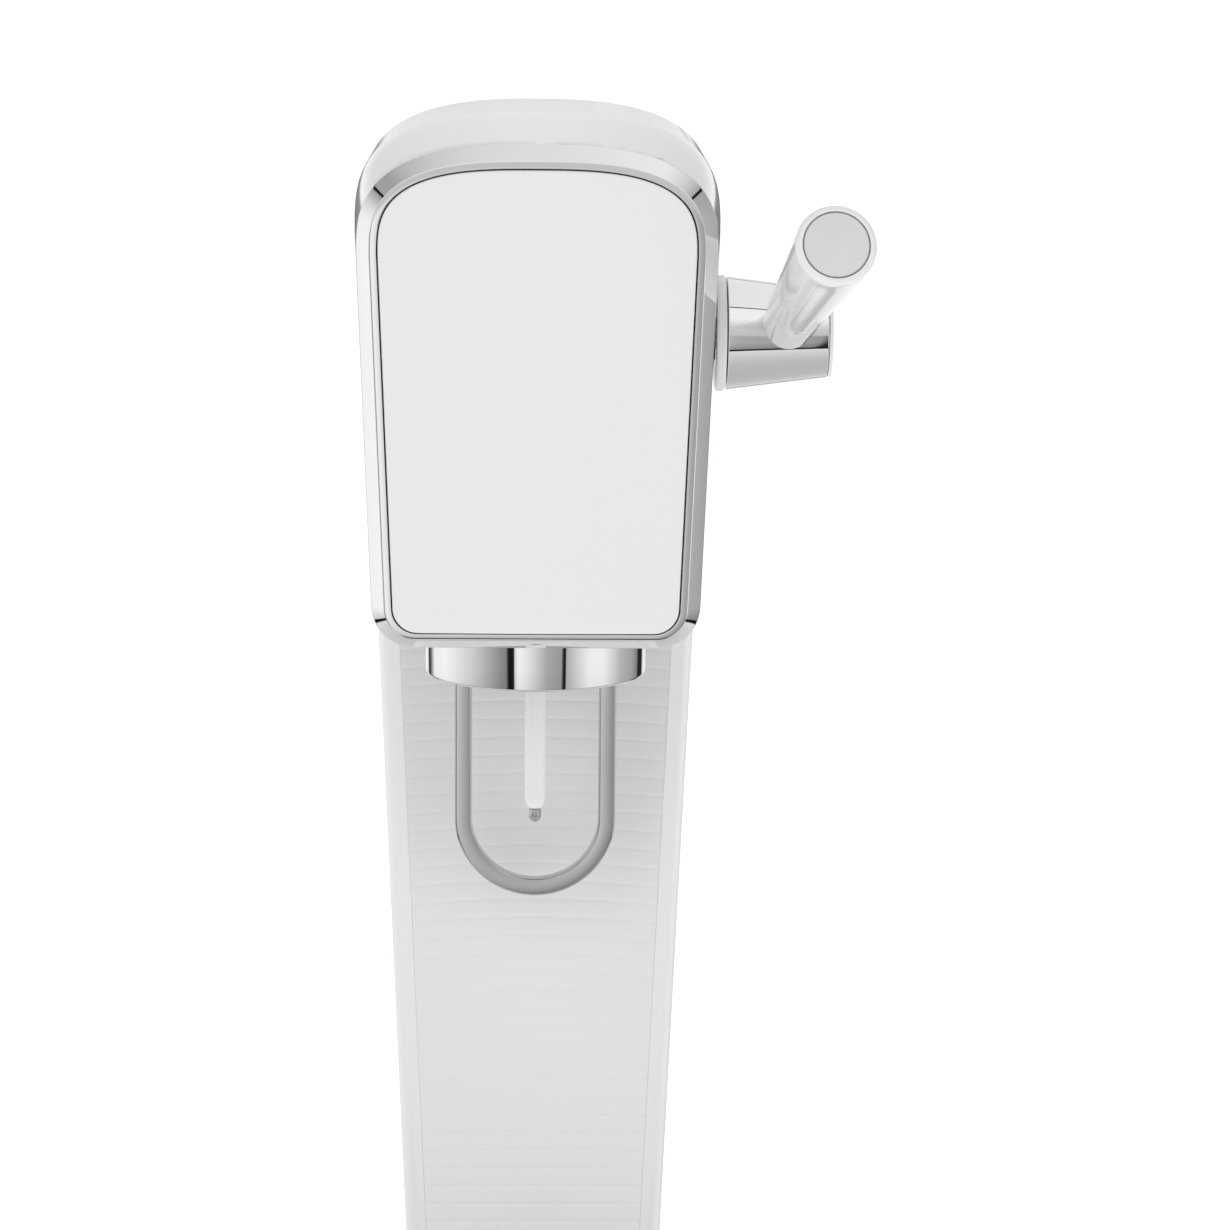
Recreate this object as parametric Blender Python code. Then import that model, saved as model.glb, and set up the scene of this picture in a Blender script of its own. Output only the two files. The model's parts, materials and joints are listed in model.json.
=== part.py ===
"""Manual soda carbonator: a head on a tapering column, a side lever, a tilting bottle holder and a gas cylinder.

Metres, +Z up. While it is modelled, the bottle axis is x = 0, y = 0, the user stands at -Y and the counter is
z = 0. The last step moves the root so that the origin is the centre of the bounding box's bottom.
"""

import math

import bmesh
import bpy
from mathutils import Matrix, Vector

mm = 0.001

# Driving sizes of the casing
HEAD_BOTTOM = 283.6 * mm  # height of the head's underside
HEAD_HEIGHT = 150.4 * mm  # underside to the top of the rear part
FRONT_DROP = 3.0 * mm  # how much lower the front of the top is
HEAD_FRONT = -50.0 * mm  # front edge of the casing, behind the bezel
BULGE_FROM = 46.0 * mm  # where the sides reach their full width
SEAM_Y = 115.0 * mm  # joint between the casing and the rear cover
BACK_Y = 136.0 * mm
COLUMN_FRONT = 46.0 * mm
FRONT_HALF = 52.4 * mm  # half width at the shoulders, at the bezel
REAR_HALF = 55.8 * mm  # half width at the shoulders, further back
FRONT_TAPER = 0.0393
REAR_TAPER = 0.0420
SHOULDER_DROP = 31.5 * mm
REAR_SHOULDER = 28.0 * mm  # from the head's top to the shoulders at the back
FRONT_ROUND = 2.78  # exponent of the top's curve, at the bezel: 2 is an ellipse
REAR_ROUND = 2.58
ROUND_GAIN = 35.0  # exponent added per metre of inset, as an inset corner is tighter
HEAD_CORNER = 12.9 * mm
WALL = 2.5 * mm
GAP = 0.3 * mm  # clearance between pieces that are fixed together
RUN = 0.5 * mm  # clearance between pieces that move past each other
SKIN = 0.02 * mm  # keeps joined shapes from sharing a plane

# Bezel and front panel
BEVEL_WIDE = 4.0 * mm
BEVEL_DEEP = 6.4 * mm
LIP_WIDE = 2.1 * mm
BEZEL_BACK = 4.0 * mm
LOW_SHARE = 0.85  # the frame is narrower along the bottom
TOP_SHARE = 1.08  # and wider along the top
PANEL_GAP = 0.4 * mm
PANEL_BULGE = 1.2 * mm
PANEL_THICK = 4.0 * mm
CARRIER_THICK = 2.0 * mm

# Column front
BORDER = 6.7 * mm
HOLLOW = 8.0 * mm  # depth of the concave front where it is deepest
HOLLOW_LOW = 50.0 * mm
HOLLOW_HIGH = 205.0 * mm

# Base
BASE_TOP = 20.0 * mm
BASE_LOW = 3.0 * mm
BASE_HALF = 52.0 * mm
BASE_FRONT = -86.0 * mm
BASE_CORNER = 20.0 * mm
TRAY_HALF = 45.0 * mm
TRAY_FRONT = -78.0 * mm
TRAY_DEEP = 5.0 * mm
TRAY_FLOOR = 2.0 * mm
PLATE_THICK = 2.5 * mm
FOOT_RADIUS = 7.0 * mm

# Lever
LEVER_Y = 31.0 * mm
LEVER_RISE = 83.6 * mm  # above the underside of the head
HUB_ROOT = 58.7 * mm
HUB_END = 91.4 * mm
CAP_THICK = 1.3 * mm
HUB_ROOT_RADIUS = 17.6 * mm
HUB_END_RADIUS = 13.4 * mm
RING_RADIUS = 18.0 * mm
GRIP_X = 76.2 * mm  # where the grip's line crosses the hub's axis
GRIP_UP = 19.8  # degrees
GRIP_OUT = 4.3
GRIP_LENGTH = 112.0 * mm
GRIP_NEAR_RADIUS = 11.8 * mm
GRIP_ROOT_RADIUS = 7.8 * mm
FERRULE_START = 9.0 * mm
FERRULE_END = 40.0 * mm
DISC_RADIUS = 9.6 * mm
SHAFT_RADIUS = 5.0 * mm
SHAFT_END = -19.0 * mm

# Mechanism
CHEEK_IN = 14.0 * mm
CHEEK_THICK = 3.0 * mm
CAM_RADIUS = 9.0 * mm
CAM_LIFT = 3.0 * mm  # per radian
CAM_HALF = 5.0 * mm
ROCKER_Y = 61.0 * mm
NOSE_RADIUS = 3.0 * mm
PIN_RADIUS = 2.5 * mm
ROCKER_HIGH = 8.0 * mm
PLUNGER_TRAVEL = 3.0 * mm

# Gas side
GAS_Y = 98.0 * mm
CYLINDER_RADIUS = 30.0 * mm
VALVE_RADIUS = 10.0 * mm
HOUSING_RADIUS = 16.0 * mm
CHASSIS_Y = 60.0 * mm

# Bottle holder
HOLDER_Y = 30.0 * mm
HOLDER_RISE = 16.4 * mm  # tilt axis above the underside of the head
COLLAR_RADIUS = 34.0 * mm
COLLAR_DROP = 17.1 * mm  # how far the collar shows under the head
NOZZLE_RADIUS = 3.3 * mm
NOZZLE_DROP = 57.6 * mm
TIP_DROP = 65.3 * mm
LOOP_Y = 36.0 * mm
LOOP_HALF = 22.9 * mm
LOOP_DROP = 72.6 * mm  # centre of the loop's arc, under the head
LOOP_WIDE = 5.4 * mm
LOOP_DEEP = 5.0 * mm

# Heights that follow from those above
HEAD_TOP = HEAD_BOTTOM + HEAD_HEIGHT
SHOULDER_Z = HEAD_TOP - FRONT_DROP - SHOULDER_DROP
REAR_SHOULDER_Z = HEAD_TOP - REAR_SHOULDER
LEVER_Z = HEAD_BOTTOM + LEVER_RISE
HOLDER_Z = HEAD_BOTTOM + HOLDER_RISE
NOSE_Z = LEVER_Z + CAM_RADIUS + RUN + NOSE_RADIUS
ROCKER_Z = NOSE_Z + 3.0 * mm
PLUNGER_TOP = NOSE_Z - NOSE_RADIUS - 0.1 * mm
HOUSING_TOP = PLUNGER_TOP - 11.0 * mm
HOUSING_LOW = HOUSING_TOP - 20.0 * mm
VALVE_TOP = HOUSING_TOP - 14.0 * mm
PIN_TOP = VALVE_TOP + 3.6 * mm
PLUNGER_LOW = PIN_TOP + PLUNGER_TRAVEL + 0.4 * mm
FRAME_FLOOR = LEVER_Z - 18.6 * mm
CHASSIS_TOP = FRAME_FLOOR - 3.0 * mm - GAP
SEAT_TOP = BASE_TOP + 4.3 * mm
PLATE_TOP = BASE_LOW + PLATE_THICK


def half_width(z):
    return REAR_HALF - REAR_TAPER * (SHOULDER_Z - z)


# Scene, materials and helpers

for old in list(bpy.data.objects):
    bpy.data.objects.remove(old, do_unlink=True)

PARTS = bpy.data.collections.new("soda_carbonator")
CUTTERS = bpy.data.collections.new("cutters")
CUTTERS.hide_render = True
for made in (PARTS, CUTTERS):
    bpy.context.scene.collection.children.link(made)

MATERIALS = {
    "gloss_white": ((0.86, 0.86, 0.85), 0.18, 0.0),
    "satin_white": ((0.84, 0.84, 0.84), 0.42, 0.0),
    "matt_white": ((0.80, 0.80, 0.80), 0.55, 0.0),
    "chrome": ((0.80, 0.81, 0.82), 0.06, 1.0),
    "brushed_silver": ((0.66, 0.66, 0.66), 0.34, 1.0),
    "satin_steel": ((0.58, 0.58, 0.57), 0.25, 1.0),
    "zinc_steel": ((0.52, 0.53, 0.54), 0.40, 1.0),
    "brass": ((0.72, 0.55, 0.28), 0.30, 1.0),
    "bronze": ((0.55, 0.38, 0.20), 0.40, 1.0),
    "cylinder_blue": ((0.10, 0.22, 0.46), 0.35, 0.0),
    "grey_nylon": ((0.36, 0.37, 0.38), 0.50, 0.0),
    "black_rubber": ((0.03, 0.03, 0.03), 0.75, 0.0),
    "grey_rubber": ((0.28, 0.28, 0.29), 0.70, 0.0),
    "clear_white": ((0.80, 0.81, 0.81), 0.30, 0.0),
}


def material(name):
    found = bpy.data.materials.get(name)
    if found:
        return found
    colour, roughness, metallic = MATERIALS[name]
    found = bpy.data.materials.new(name)
    found.use_nodes = True
    shader = found.node_tree.nodes["Principled BSDF"]
    shader.inputs["Base Color"].default_value = (*colour, 1.0)
    shader.inputs["Roughness"].default_value = roughness
    shader.inputs["Metallic"].default_value = metallic
    found.diffuse_color = (*colour, 1.0)
    return found


def group(name, parent=None, at=(0.0, 0.0, 0.0)):
    """An empty at a joint, in modelling coordinates."""
    empty = bpy.data.objects.new(name, None)
    empty.empty_display_size = 0.01
    empty.parent = parent
    empty["at"] = at
    offset = Vector(parent["at"]) if parent else Vector((0, 0, 0))
    empty.location = Vector(at) - offset
    PARTS.objects.link(empty)
    return empty


def place(name, shape, look, parent):
    """Turns a bmesh in modelling coordinates into a named object under an empty."""
    bmesh.ops.recalc_face_normals(shape, faces=shape.faces)
    bmesh.ops.translate(shape, verts=shape.verts, vec=-Vector(parent["at"]))
    data = bpy.data.meshes.new(name)
    shape.to_mesh(data)
    shape.free()
    obj = bpy.data.objects.new(name, data)
    obj.parent = parent
    if look:
        data.materials.append(material(look))
        data.shade_smooth()
        data.set_sharp_from_angle(angle=math.radians(32))
        PARTS.objects.link(obj)
    else:
        obj.hide_render = True
        obj.display_type = "WIRE"
        CUTTERS.objects.link(obj)
    return obj


def combine(obj, shape, how="DIFFERENCE"):
    """Cuts a bmesh from an object, or joins it on."""
    tool = place(obj.name + "_" + how.lower() + str(len(obj.modifiers)), shape, None, obj.parent)
    step = obj.modifiers.new(how.title(), "BOOLEAN")
    step.operation = how
    step.solver = "EXACT"
    step.object = tool
    return obj


def loft(rings, loop=False):
    """A solid through rings with equal counts of points. A loop joins the last ring to the first."""
    shape = bmesh.new()
    rows = [[shape.verts.new(point) for point in ring] for ring in rings]
    pairs = list(zip(rows, rows[1:])) + ([(rows[-1], rows[0])] if loop else [])
    for low, high in pairs:
        for i in range(len(low)):
            j = (i + 1) % len(low)
            shape.faces.new((low[i], low[j], high[j], high[i]))
    if not loop:
        shape.faces.new(rows[0][::-1])
        shape.faces.new(rows[-1])
    return shape


AXES = {
    "X": Matrix(((0, 0, 1), (1, 0, 0), (0, 1, 0))),
    "Y": Matrix(((0, 1, 0), (0, 0, 1), (1, 0, 0))),
    "Z": Matrix(((1, 0, 0), (0, 1, 0), (0, 0, 1))),
}


def frame_along(direction):
    return Vector(direction).to_track_quat("Z", "Y").to_matrix()


def prism(outline, start, end, axis="Z"):
    """An outline in the plane across an axis, from start to end along it.

    The outline's pairs are (x, y) for Z, (y, z) for X and (z, x) for Y.
    """
    turn = AXES[axis]
    return loft([[turn @ Vector((a, b, level)) for a, b in outline] for level in (start, end)])


def box(x0, x1, y0, y1, z0, z1):
    return prism([(x0, y0), (x1, y0), (x1, y1), (x0, y1)], z0, z1)


def lathe(profile, centre=(0, 0, 0), turn=None, sides=32, hollow=False):
    """Turns (radius, height) pairs about a line. A hollow profile is a closed loop away from the line."""
    turn = turn or AXES["Z"]
    centre = Vector(centre)
    shape = bmesh.new()
    rows = []
    for radius, height in profile:
        if radius < 1e-7:
            rows.append([shape.verts.new(centre + turn @ Vector((0, 0, height)))])
            continue
        rows.append([
            shape.verts.new(centre + turn @ Vector((
                radius * math.cos(math.tau * i / sides), radius * math.sin(math.tau * i / sides), height,
            )))
            for i in range(sides)
        ])
    pairs = list(zip(rows, rows[1:])) + ([(rows[-1], rows[0])] if hollow else [])
    for low, high in pairs:
        for i in range(sides):
            j = (i + 1) % sides
            ring = [low[i % len(low)], low[j % len(low)], high[j % len(high)], high[i % len(high)]]
            kept = [v for n, v in enumerate(ring) if v not in ring[:n]]
            shape.faces.new(kept)
    if not hollow:
        for row, flip in ((rows[0], -1), (rows[-1], 1)):
            if len(row) > 1:
                shape.faces.new(row[::flip])
    return shape


def rod(radius, start, end, centre=(0, 0, 0), axis="Z", sides=24, chamfer=0.0):
    """A cylinder, with start and end measured along the axis from the centre."""
    if chamfer:
        profile = [(radius - chamfer, start), (radius, start + chamfer), (radius, end - chamfer), (radius - chamfer, end)]
    else:
        profile = [(radius, start), (radius, end)]
    return lathe(profile, centre, AXES[axis], sides)


def ring(inner, outer, start, end, centre=(0, 0, 0), axis="Z", sides=32):
    return lathe([(inner, start), (outer, start), (outer, end), (inner, end)], centre, AXES[axis], sides, hollow=True)


def sweep(path, section):
    """Carries a closed section, in (side, up) pairs, along an open path without twisting it."""
    path = [Vector(point) for point in path]
    tangents = [(path[min(i + 1, len(path) - 1)] - path[max(i - 1, 0)]).normalized() for i in range(len(path))]
    side = tangents[0].orthogonal().normalized()
    if abs(tangents[0].y) < 0.9:
        side = tangents[0].cross(Vector((0, 1, 0))).normalized()
    rings = []
    for i, point in enumerate(path):
        if i:
            side = tangents[i - 1].rotation_difference(tangents[i]) @ side
        up = tangents[i].cross(side)
        rings.append([point + a * side + b * up for a, b in section])
    return loft(rings)


def round_section(radius, sides=8):
    return [(radius * math.cos(math.tau * i / sides), radius * math.sin(math.tau * i / sides)) for i in range(sides)]


def arc(centre, radius, start, end, steps):
    """Points on a circle, angles in degrees."""
    turns = [math.radians(start + (end - start) * i / steps) for i in range(steps + 1)]
    return [(centre[0] + radius * math.cos(t), centre[1] + radius * math.sin(t)) for t in turns]


def mix(a, b, share):
    return a + (b - a) * share


# Outlines of the casing

def face_outline(share, inset=0.0, bottom=HEAD_BOTTOM, corner=HEAD_CORNER, low_share=1.0, top_share=1.0):
    """The casing seen from the front, as (x, z) pairs. Share 0 is the outline at the bezel and 1 the full width."""
    top = HEAD_TOP - FRONT_DROP * (1 - share) - inset * top_share
    half = mix(FRONT_HALF, half_width(REAR_SHOULDER_Z), share)
    shoulder = mix(SHOULDER_Z, REAR_SHOULDER_Z, share)
    taper = mix(FRONT_TAPER, REAR_TAPER, share)
    power = 2 / (mix(FRONT_ROUND, REAR_ROUND, share) + ROUND_GAIN * inset)
    across, up = half - inset, top - shoulder
    right = [(0, top)]
    for i in range(1, 12):
        turn = math.radians(90 - 90 * i / 11)
        right.append((across * math.cos(turn) ** power, shoulder + up * math.sin(turn) ** power))
    radius = max(corner - inset * low_share, 0.5 * mm)
    low = bottom + inset * low_share
    centre_z = low + radius
    side = half - inset - taper * (shoulder - centre_z)
    right += arc((side - radius, centre_z), radius, 0, -90, 5)
    return right + [(-x, z) for x, z in right[:0:-1]]


def share_at(y):
    t = min(max((y - HEAD_FRONT) / (BULGE_FROM - HEAD_FRONT), 0.0), 1.0)
    return math.sin(t * math.pi / 2)


def casing_loft(stations, **outline):
    """A loft along Y through (y, inset) stations."""
    return loft([[(x, y, z) for x, z in face_outline(share_at(y), inset, **outline)] for y, inset in stations])


def column_section(z, inset, front, back, corner=3.0 * mm):
    half = half_width(z) - inset
    pts = arc((half - corner, front + corner), corner, -90, 0, 4)
    return [(x, y, z) for x, y in pts + [(half, back), (-half, back)] + [(-x, y) for x, y in reversed(pts)]]


def foot_outline(inset):
    """The base in plan: a round front and softly rounded back corners."""
    half = BASE_HALF - inset
    corner = BASE_CORNER - inset
    centre_y = BASE_FRONT + BASE_HALF
    back = BACK_Y - inset
    return (
        arc((0, centre_y), half, -180, 0, 20)
        + arc((half - corner, back - corner), corner, 0, 90, 5)
        + arc((-half + corner, back - corner), corner, 90, 180, 5)
    )


def tray_outline(inset):
    """A stadium under the bottle."""
    half = TRAY_HALF - inset
    return arc((0, TRAY_FRONT + TRAY_HALF), half, -180, 0, 16) + arc((0, 0), half, 0, 180, 16)


# Casing

def make_body_shell(body):
    stations = [(HEAD_FRONT, 0), (mix(HEAD_FRONT, BULGE_FROM, 0.25), 0), (mix(HEAD_FRONT, BULGE_FROM, 0.6), 0),
                (BULGE_FROM, 0), (SEAM_Y + 2 * mm, 0)]
    shell = place("body_shell", casing_loft(stations), "gloss_white", body)
    foot = BASE_TOP + GAP
    above = HEAD_BOTTOM + HEAD_CORNER + 4 * mm
    combine(shell, loft([column_section(z, SKIN, COLUMN_FRONT, SEAM_Y + 3 * mm) for z in (foot, above)]), "UNION")
    over = [(HEAD_FRONT - 5 * mm, WALL), (mix(HEAD_FRONT, BULGE_FROM, 0.25), WALL),
            (mix(HEAD_FRONT, BULGE_FROM, 0.6), WALL), (BULGE_FROM, WALL), (SEAM_Y + 5 * mm, WALL)]
    combine(shell, casing_loft(over))
    inside = [column_section(z, WALL + SKIN, COLUMN_FRONT + WALL, SEAM_Y + 6 * mm, 1 * mm)
              for z in (foot - 5 * mm, above + 1 * mm)]
    combine(shell, loft(inside))
    wide = REAR_HALF + 10 * mm
    combine(shell, box(-wide, wide, SEAM_Y, SEAM_Y + 20 * mm, -10 * mm, HEAD_TOP + 20 * mm))
    low, high = foot + 4 * mm, HEAD_BOTTOM - GAP
    window = [(half_width(z) - BORDER, z) for z in (low, high)]
    window = window + [(-x, z) for x, z in reversed(window)]
    combine(shell, prism([(z, x) for x, z in window], COLUMN_FRONT - 5 * mm, COLUMN_FRONT + WALL + 2 * mm, "Y"))
    combine(shell, prism(underside_opening(), HEAD_BOTTOM - 5 * mm, HEAD_BOTTOM + 3 * WALL))
    combine(shell, rod(SHAFT_RADIUS + 3 * mm, 40 * mm, 70 * mm, (0, LEVER_Y, LEVER_Z), "X"))
    return shell


def underside_opening():
    """Room for the collar and the loop's arms, at rest and tilted."""
    radius = COLLAR_RADIUS + 3 * RUN
    forward = 7.0 * mm
    rear_half = LOOP_HALF + LOOP_WIDE / 2 + 4 * RUN
    meet = math.degrees(math.acos(rear_half / radius))
    back = LOOP_Y + LOOP_DEEP / 2 + 3 * RUN
    front = arc((0, -forward), radius, -180, 0, 20)
    right = arc((0, 0), radius, 0, meet, 4)
    left = [(-x, y) for x, y in reversed(right)]
    return front + right + [(rear_half, back), (-rear_half, back)] + left


def make_rear_cover(cover):
    tall = dict(bottom=BASE_TOP + 2 * GAP, corner=2 * mm)
    open_foot = dict(bottom=BASE_TOP - 20 * mm, corner=2 * mm)
    depth = BACK_Y - SEAM_Y
    stations = [(SEAM_Y + GAP, 0), (SEAM_Y + 0.45 * depth, 0.2 * mm), (SEAM_Y + 0.72 * depth, 1.6 * mm),
                (SEAM_Y + 0.9 * depth, 4.6 * mm), (BACK_Y, 9.0 * mm)]
    shell = place("rear_cover", casing_loft(stations, **tall), "gloss_white", cover)
    lip = [(SEAM_Y - 4 * mm, WALL + 0.4 * mm), (SEAM_Y + 1 * mm, WALL + 0.4 * mm)]
    combine(shell, casing_loft(lip, **tall), "UNION")
    inner = [(SEAM_Y + 2 * mm, WALL), (SEAM_Y + 0.45 * depth, WALL + 0.2 * mm),
             (SEAM_Y + 0.72 * depth, WALL + 1.6 * mm), (BACK_Y - WALL, WALL + 6.0 * mm)]
    combine(shell, casing_loft(inner, **open_foot))
    mouth = [(SEAM_Y - 6 * mm, WALL + 2.0 * mm), (SEAM_Y + 2.5 * mm, WALL + 2.0 * mm)]
    combine(shell, casing_loft(mouth, **open_foot))
    return shell


def make_front(body):
    face = HEAD_FRONT - GAP - 0.6 * mm - BEVEL_DEEP
    total = BEVEL_WIDE + LIP_WIDE
    section = [(0, HEAD_FRONT - GAP, 1), (0, HEAD_FRONT - GAP - 0.6 * mm, 1), (BEVEL_WIDE, face, 1),
               (total - 0.6 * mm, face, 1), (total, face + 0.6 * mm, 1), (total, HEAD_FRONT + BEZEL_BACK, 1),
               (WALL + 0.5 * mm, HEAD_FRONT + BEZEL_BACK, 0), (WALL + 0.5 * mm, HEAD_FRONT - GAP, 0)]
    rings = []
    for inset, y, seen in section:
        low_share, top_share = (LOW_SHARE, TOP_SHARE) if seen else (1, 1)
        rings.append([(x, y, z) for x, z in face_outline(0, inset, low_share=low_share, top_share=top_share)])
    bezel = place("front_bezel", loft(rings, loop=True), "chrome", body)

    edge = total + PANEL_GAP
    outline = face_outline(0, edge, low_share=LOW_SHARE, top_share=TOP_SHARE)
    back = face + 0.4 * mm + PANEL_THICK
    slab = loft([[(x, y, z) for x, z in outline] for y in (face - 2 * PANEL_BULGE, back)])
    panel = place("front_panel", slab, "satin_white", body)
    reach = FRONT_HALF + 5 * mm
    steps = 16
    curve = [(reach * (2 * i / steps - 1), 0) for i in range(steps + 1)]
    curve = [(x, face + 0.4 * mm - PANEL_BULGE * (1 - (x / FRONT_HALF) ** 2)) for x, _ in curve]
    keep = curve + [(reach, back + 2 * mm), (-reach, back + 2 * mm)]
    combine(panel, prism(keep, HEAD_BOTTOM - 20 * mm, HEAD_TOP + 20 * mm), "INTERSECT")

    rear = back + GAP
    rings = [[(x, y, z) for x, z in outline] for y in (rear, rear + CARRIER_THICK)]
    place("front_carrier", loft(rings), "matt_white", body)
    return bezel


def hollow_at(z):
    t = min(max((z - HOLLOW_LOW) / (HOLLOW_HIGH - HOLLOW_LOW), 0.0), 1.0)
    return HOLLOW * t * t * (3 - 2 * t)


def make_column_front(body):
    low = BASE_TOP + GAP + 4 * mm + GAP
    high = HEAD_BOTTOM - 2 * GAP
    across, levels = 12, 16
    rings = []
    for n in range(levels + 1):
        z = mix(low, high, n / levels)
        half = half_width(z) - BORDER - GAP
        row = [half * (2 * i / across - 1) for i in range(across + 1)]
        front = [(x, COLUMN_FRONT + hollow_at(z) * (1 - (x / half) ** 2), z) for x in row]
        back = [(x, y + WALL, z) for x, y, z in reversed(front)]
        rings.append(front + back)
    place("column_front", loft(rings), "satin_white", body)


# Base

def make_base(body, tray):
    levels = [(BASE_LOW, 1.0 * mm), (BASE_LOW + 1.5 * mm, 0), (BASE_TOP - 5 * mm, 0), (BASE_TOP - 2.4 * mm, 0.6 * mm),
              (BASE_TOP - 0.8 * mm, 2.0 * mm), (BASE_TOP, 4.0 * mm)]
    rings = [[(x, y, z) for x, y in foot_outline(inset)] for z, inset in levels]
    shell = place("base_shell", loft(rings), "gloss_white", body)
    rings = [[(x, y, z) for x, y in foot_outline(WALL + 0.5 * mm)] for z in (BASE_LOW - 5 * mm, BASE_TOP - WALL)]
    combine(shell, loft(rings))
    pocket = BASE_TOP - TRAY_DEEP
    combine(shell, prism(tray_outline(-WALL - GAP), pocket - WALL, BASE_TOP - 1 * mm), "UNION")
    combine(shell, prism(tray_outline(-GAP), pocket, BASE_TOP + 5 * mm))
    spots = plate_screw_spots()
    for x, y in spots:
        top = pocket - 1 * mm if y < 0 else BASE_TOP - 1 * mm
        combine(shell, rod(4 * mm, PLATE_TOP + GAP, top, (x, y, 0), sides=16), "UNION")
    for x, y in spots:
        combine(shell, rod(1.6 * mm, PLATE_TOP - 2 * mm, PLATE_TOP + 7 * mm, (x, y, 0), sides=12))
    for x in (-1, 1):
        spot = (x * 20 * mm, COLUMN_FRONT + 9 * mm, 0)
        combine(shell, rod(1.8 * mm, BASE_TOP - 5 * mm, BASE_TOP + 3 * mm, spot, sides=12))

    outline = foot_outline(WALL + 0.5 * mm + GAP)
    plate = place("base_plate", prism(outline, BASE_LOW, PLATE_TOP), "matt_white", body)
    for x, y in spots:
        combine(plate, rod(1.8 * mm, BASE_LOW - 2 * mm, PLATE_TOP + 2 * mm, (x, y, 0), sides=12))
        combine(plate, rod(3.3 * mm, BASE_LOW - 2 * mm, BASE_LOW + 1.5 * mm, (x, y, 0), sides=16))
    for n, (x, y) in enumerate(spots, 1):
        screw = [(0, BASE_LOW + 0.1 * mm), (2.9 * mm, BASE_LOW + 0.1 * mm), (2.9 * mm, BASE_LOW + 1.2 * mm),
                 (1.3 * mm, BASE_LOW + 1.2 * mm), (1.3 * mm, PLATE_TOP + 6 * mm), (0, PLATE_TOP + 6.5 * mm)]
        place(f"base_screw_{n}", lathe(screw, (x, y, 0), sides=12), "zinc_steel", body)
    for n, (x, y) in enumerate(foot_spots(), 1):
        foot = [(0, 0), (FOOT_RADIUS - 0.8 * mm, 0), (FOOT_RADIUS, 0.8 * mm), (FOOT_RADIUS, BASE_LOW - GAP),
                (0, BASE_LOW - GAP)]
        place(f"foot_{n}", lathe(foot, (x, y, 0), sides=24), "black_rubber", body)

    low = pocket + GAP
    rings = [tray_outline(i) for i in (0.4 * mm, 0.0, 0.0, 1.8 * mm, 1.8 * mm)]
    heights = [low, low + 0.4 * mm, BASE_TOP + 1 * mm, BASE_TOP + 1 * mm, low + TRAY_FLOOR]
    place("drip_tray", loft([[(x, y, z) for x, y in r] for r, z in zip(rings, heights)]), "satin_steel", tray)


def plate_screw_spots():
    return [(x * 40 * mm, y) for y in (TRAY_FRONT + 60 * mm, BACK_Y - 15 * mm) for x in (-1, 1)]


def foot_spots():
    return [(x * 30 * mm, y) for y in (BASE_FRONT + 24 * mm, BACK_Y - 22 * mm) for x in (-1, 1)]


# Lever

def grip_direction():
    up, out = math.radians(GRIP_UP), math.radians(GRIP_OUT)
    return Vector((math.sin(out), -math.cos(up) * math.cos(out), math.sin(up) * math.cos(out))).normalized()


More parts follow.
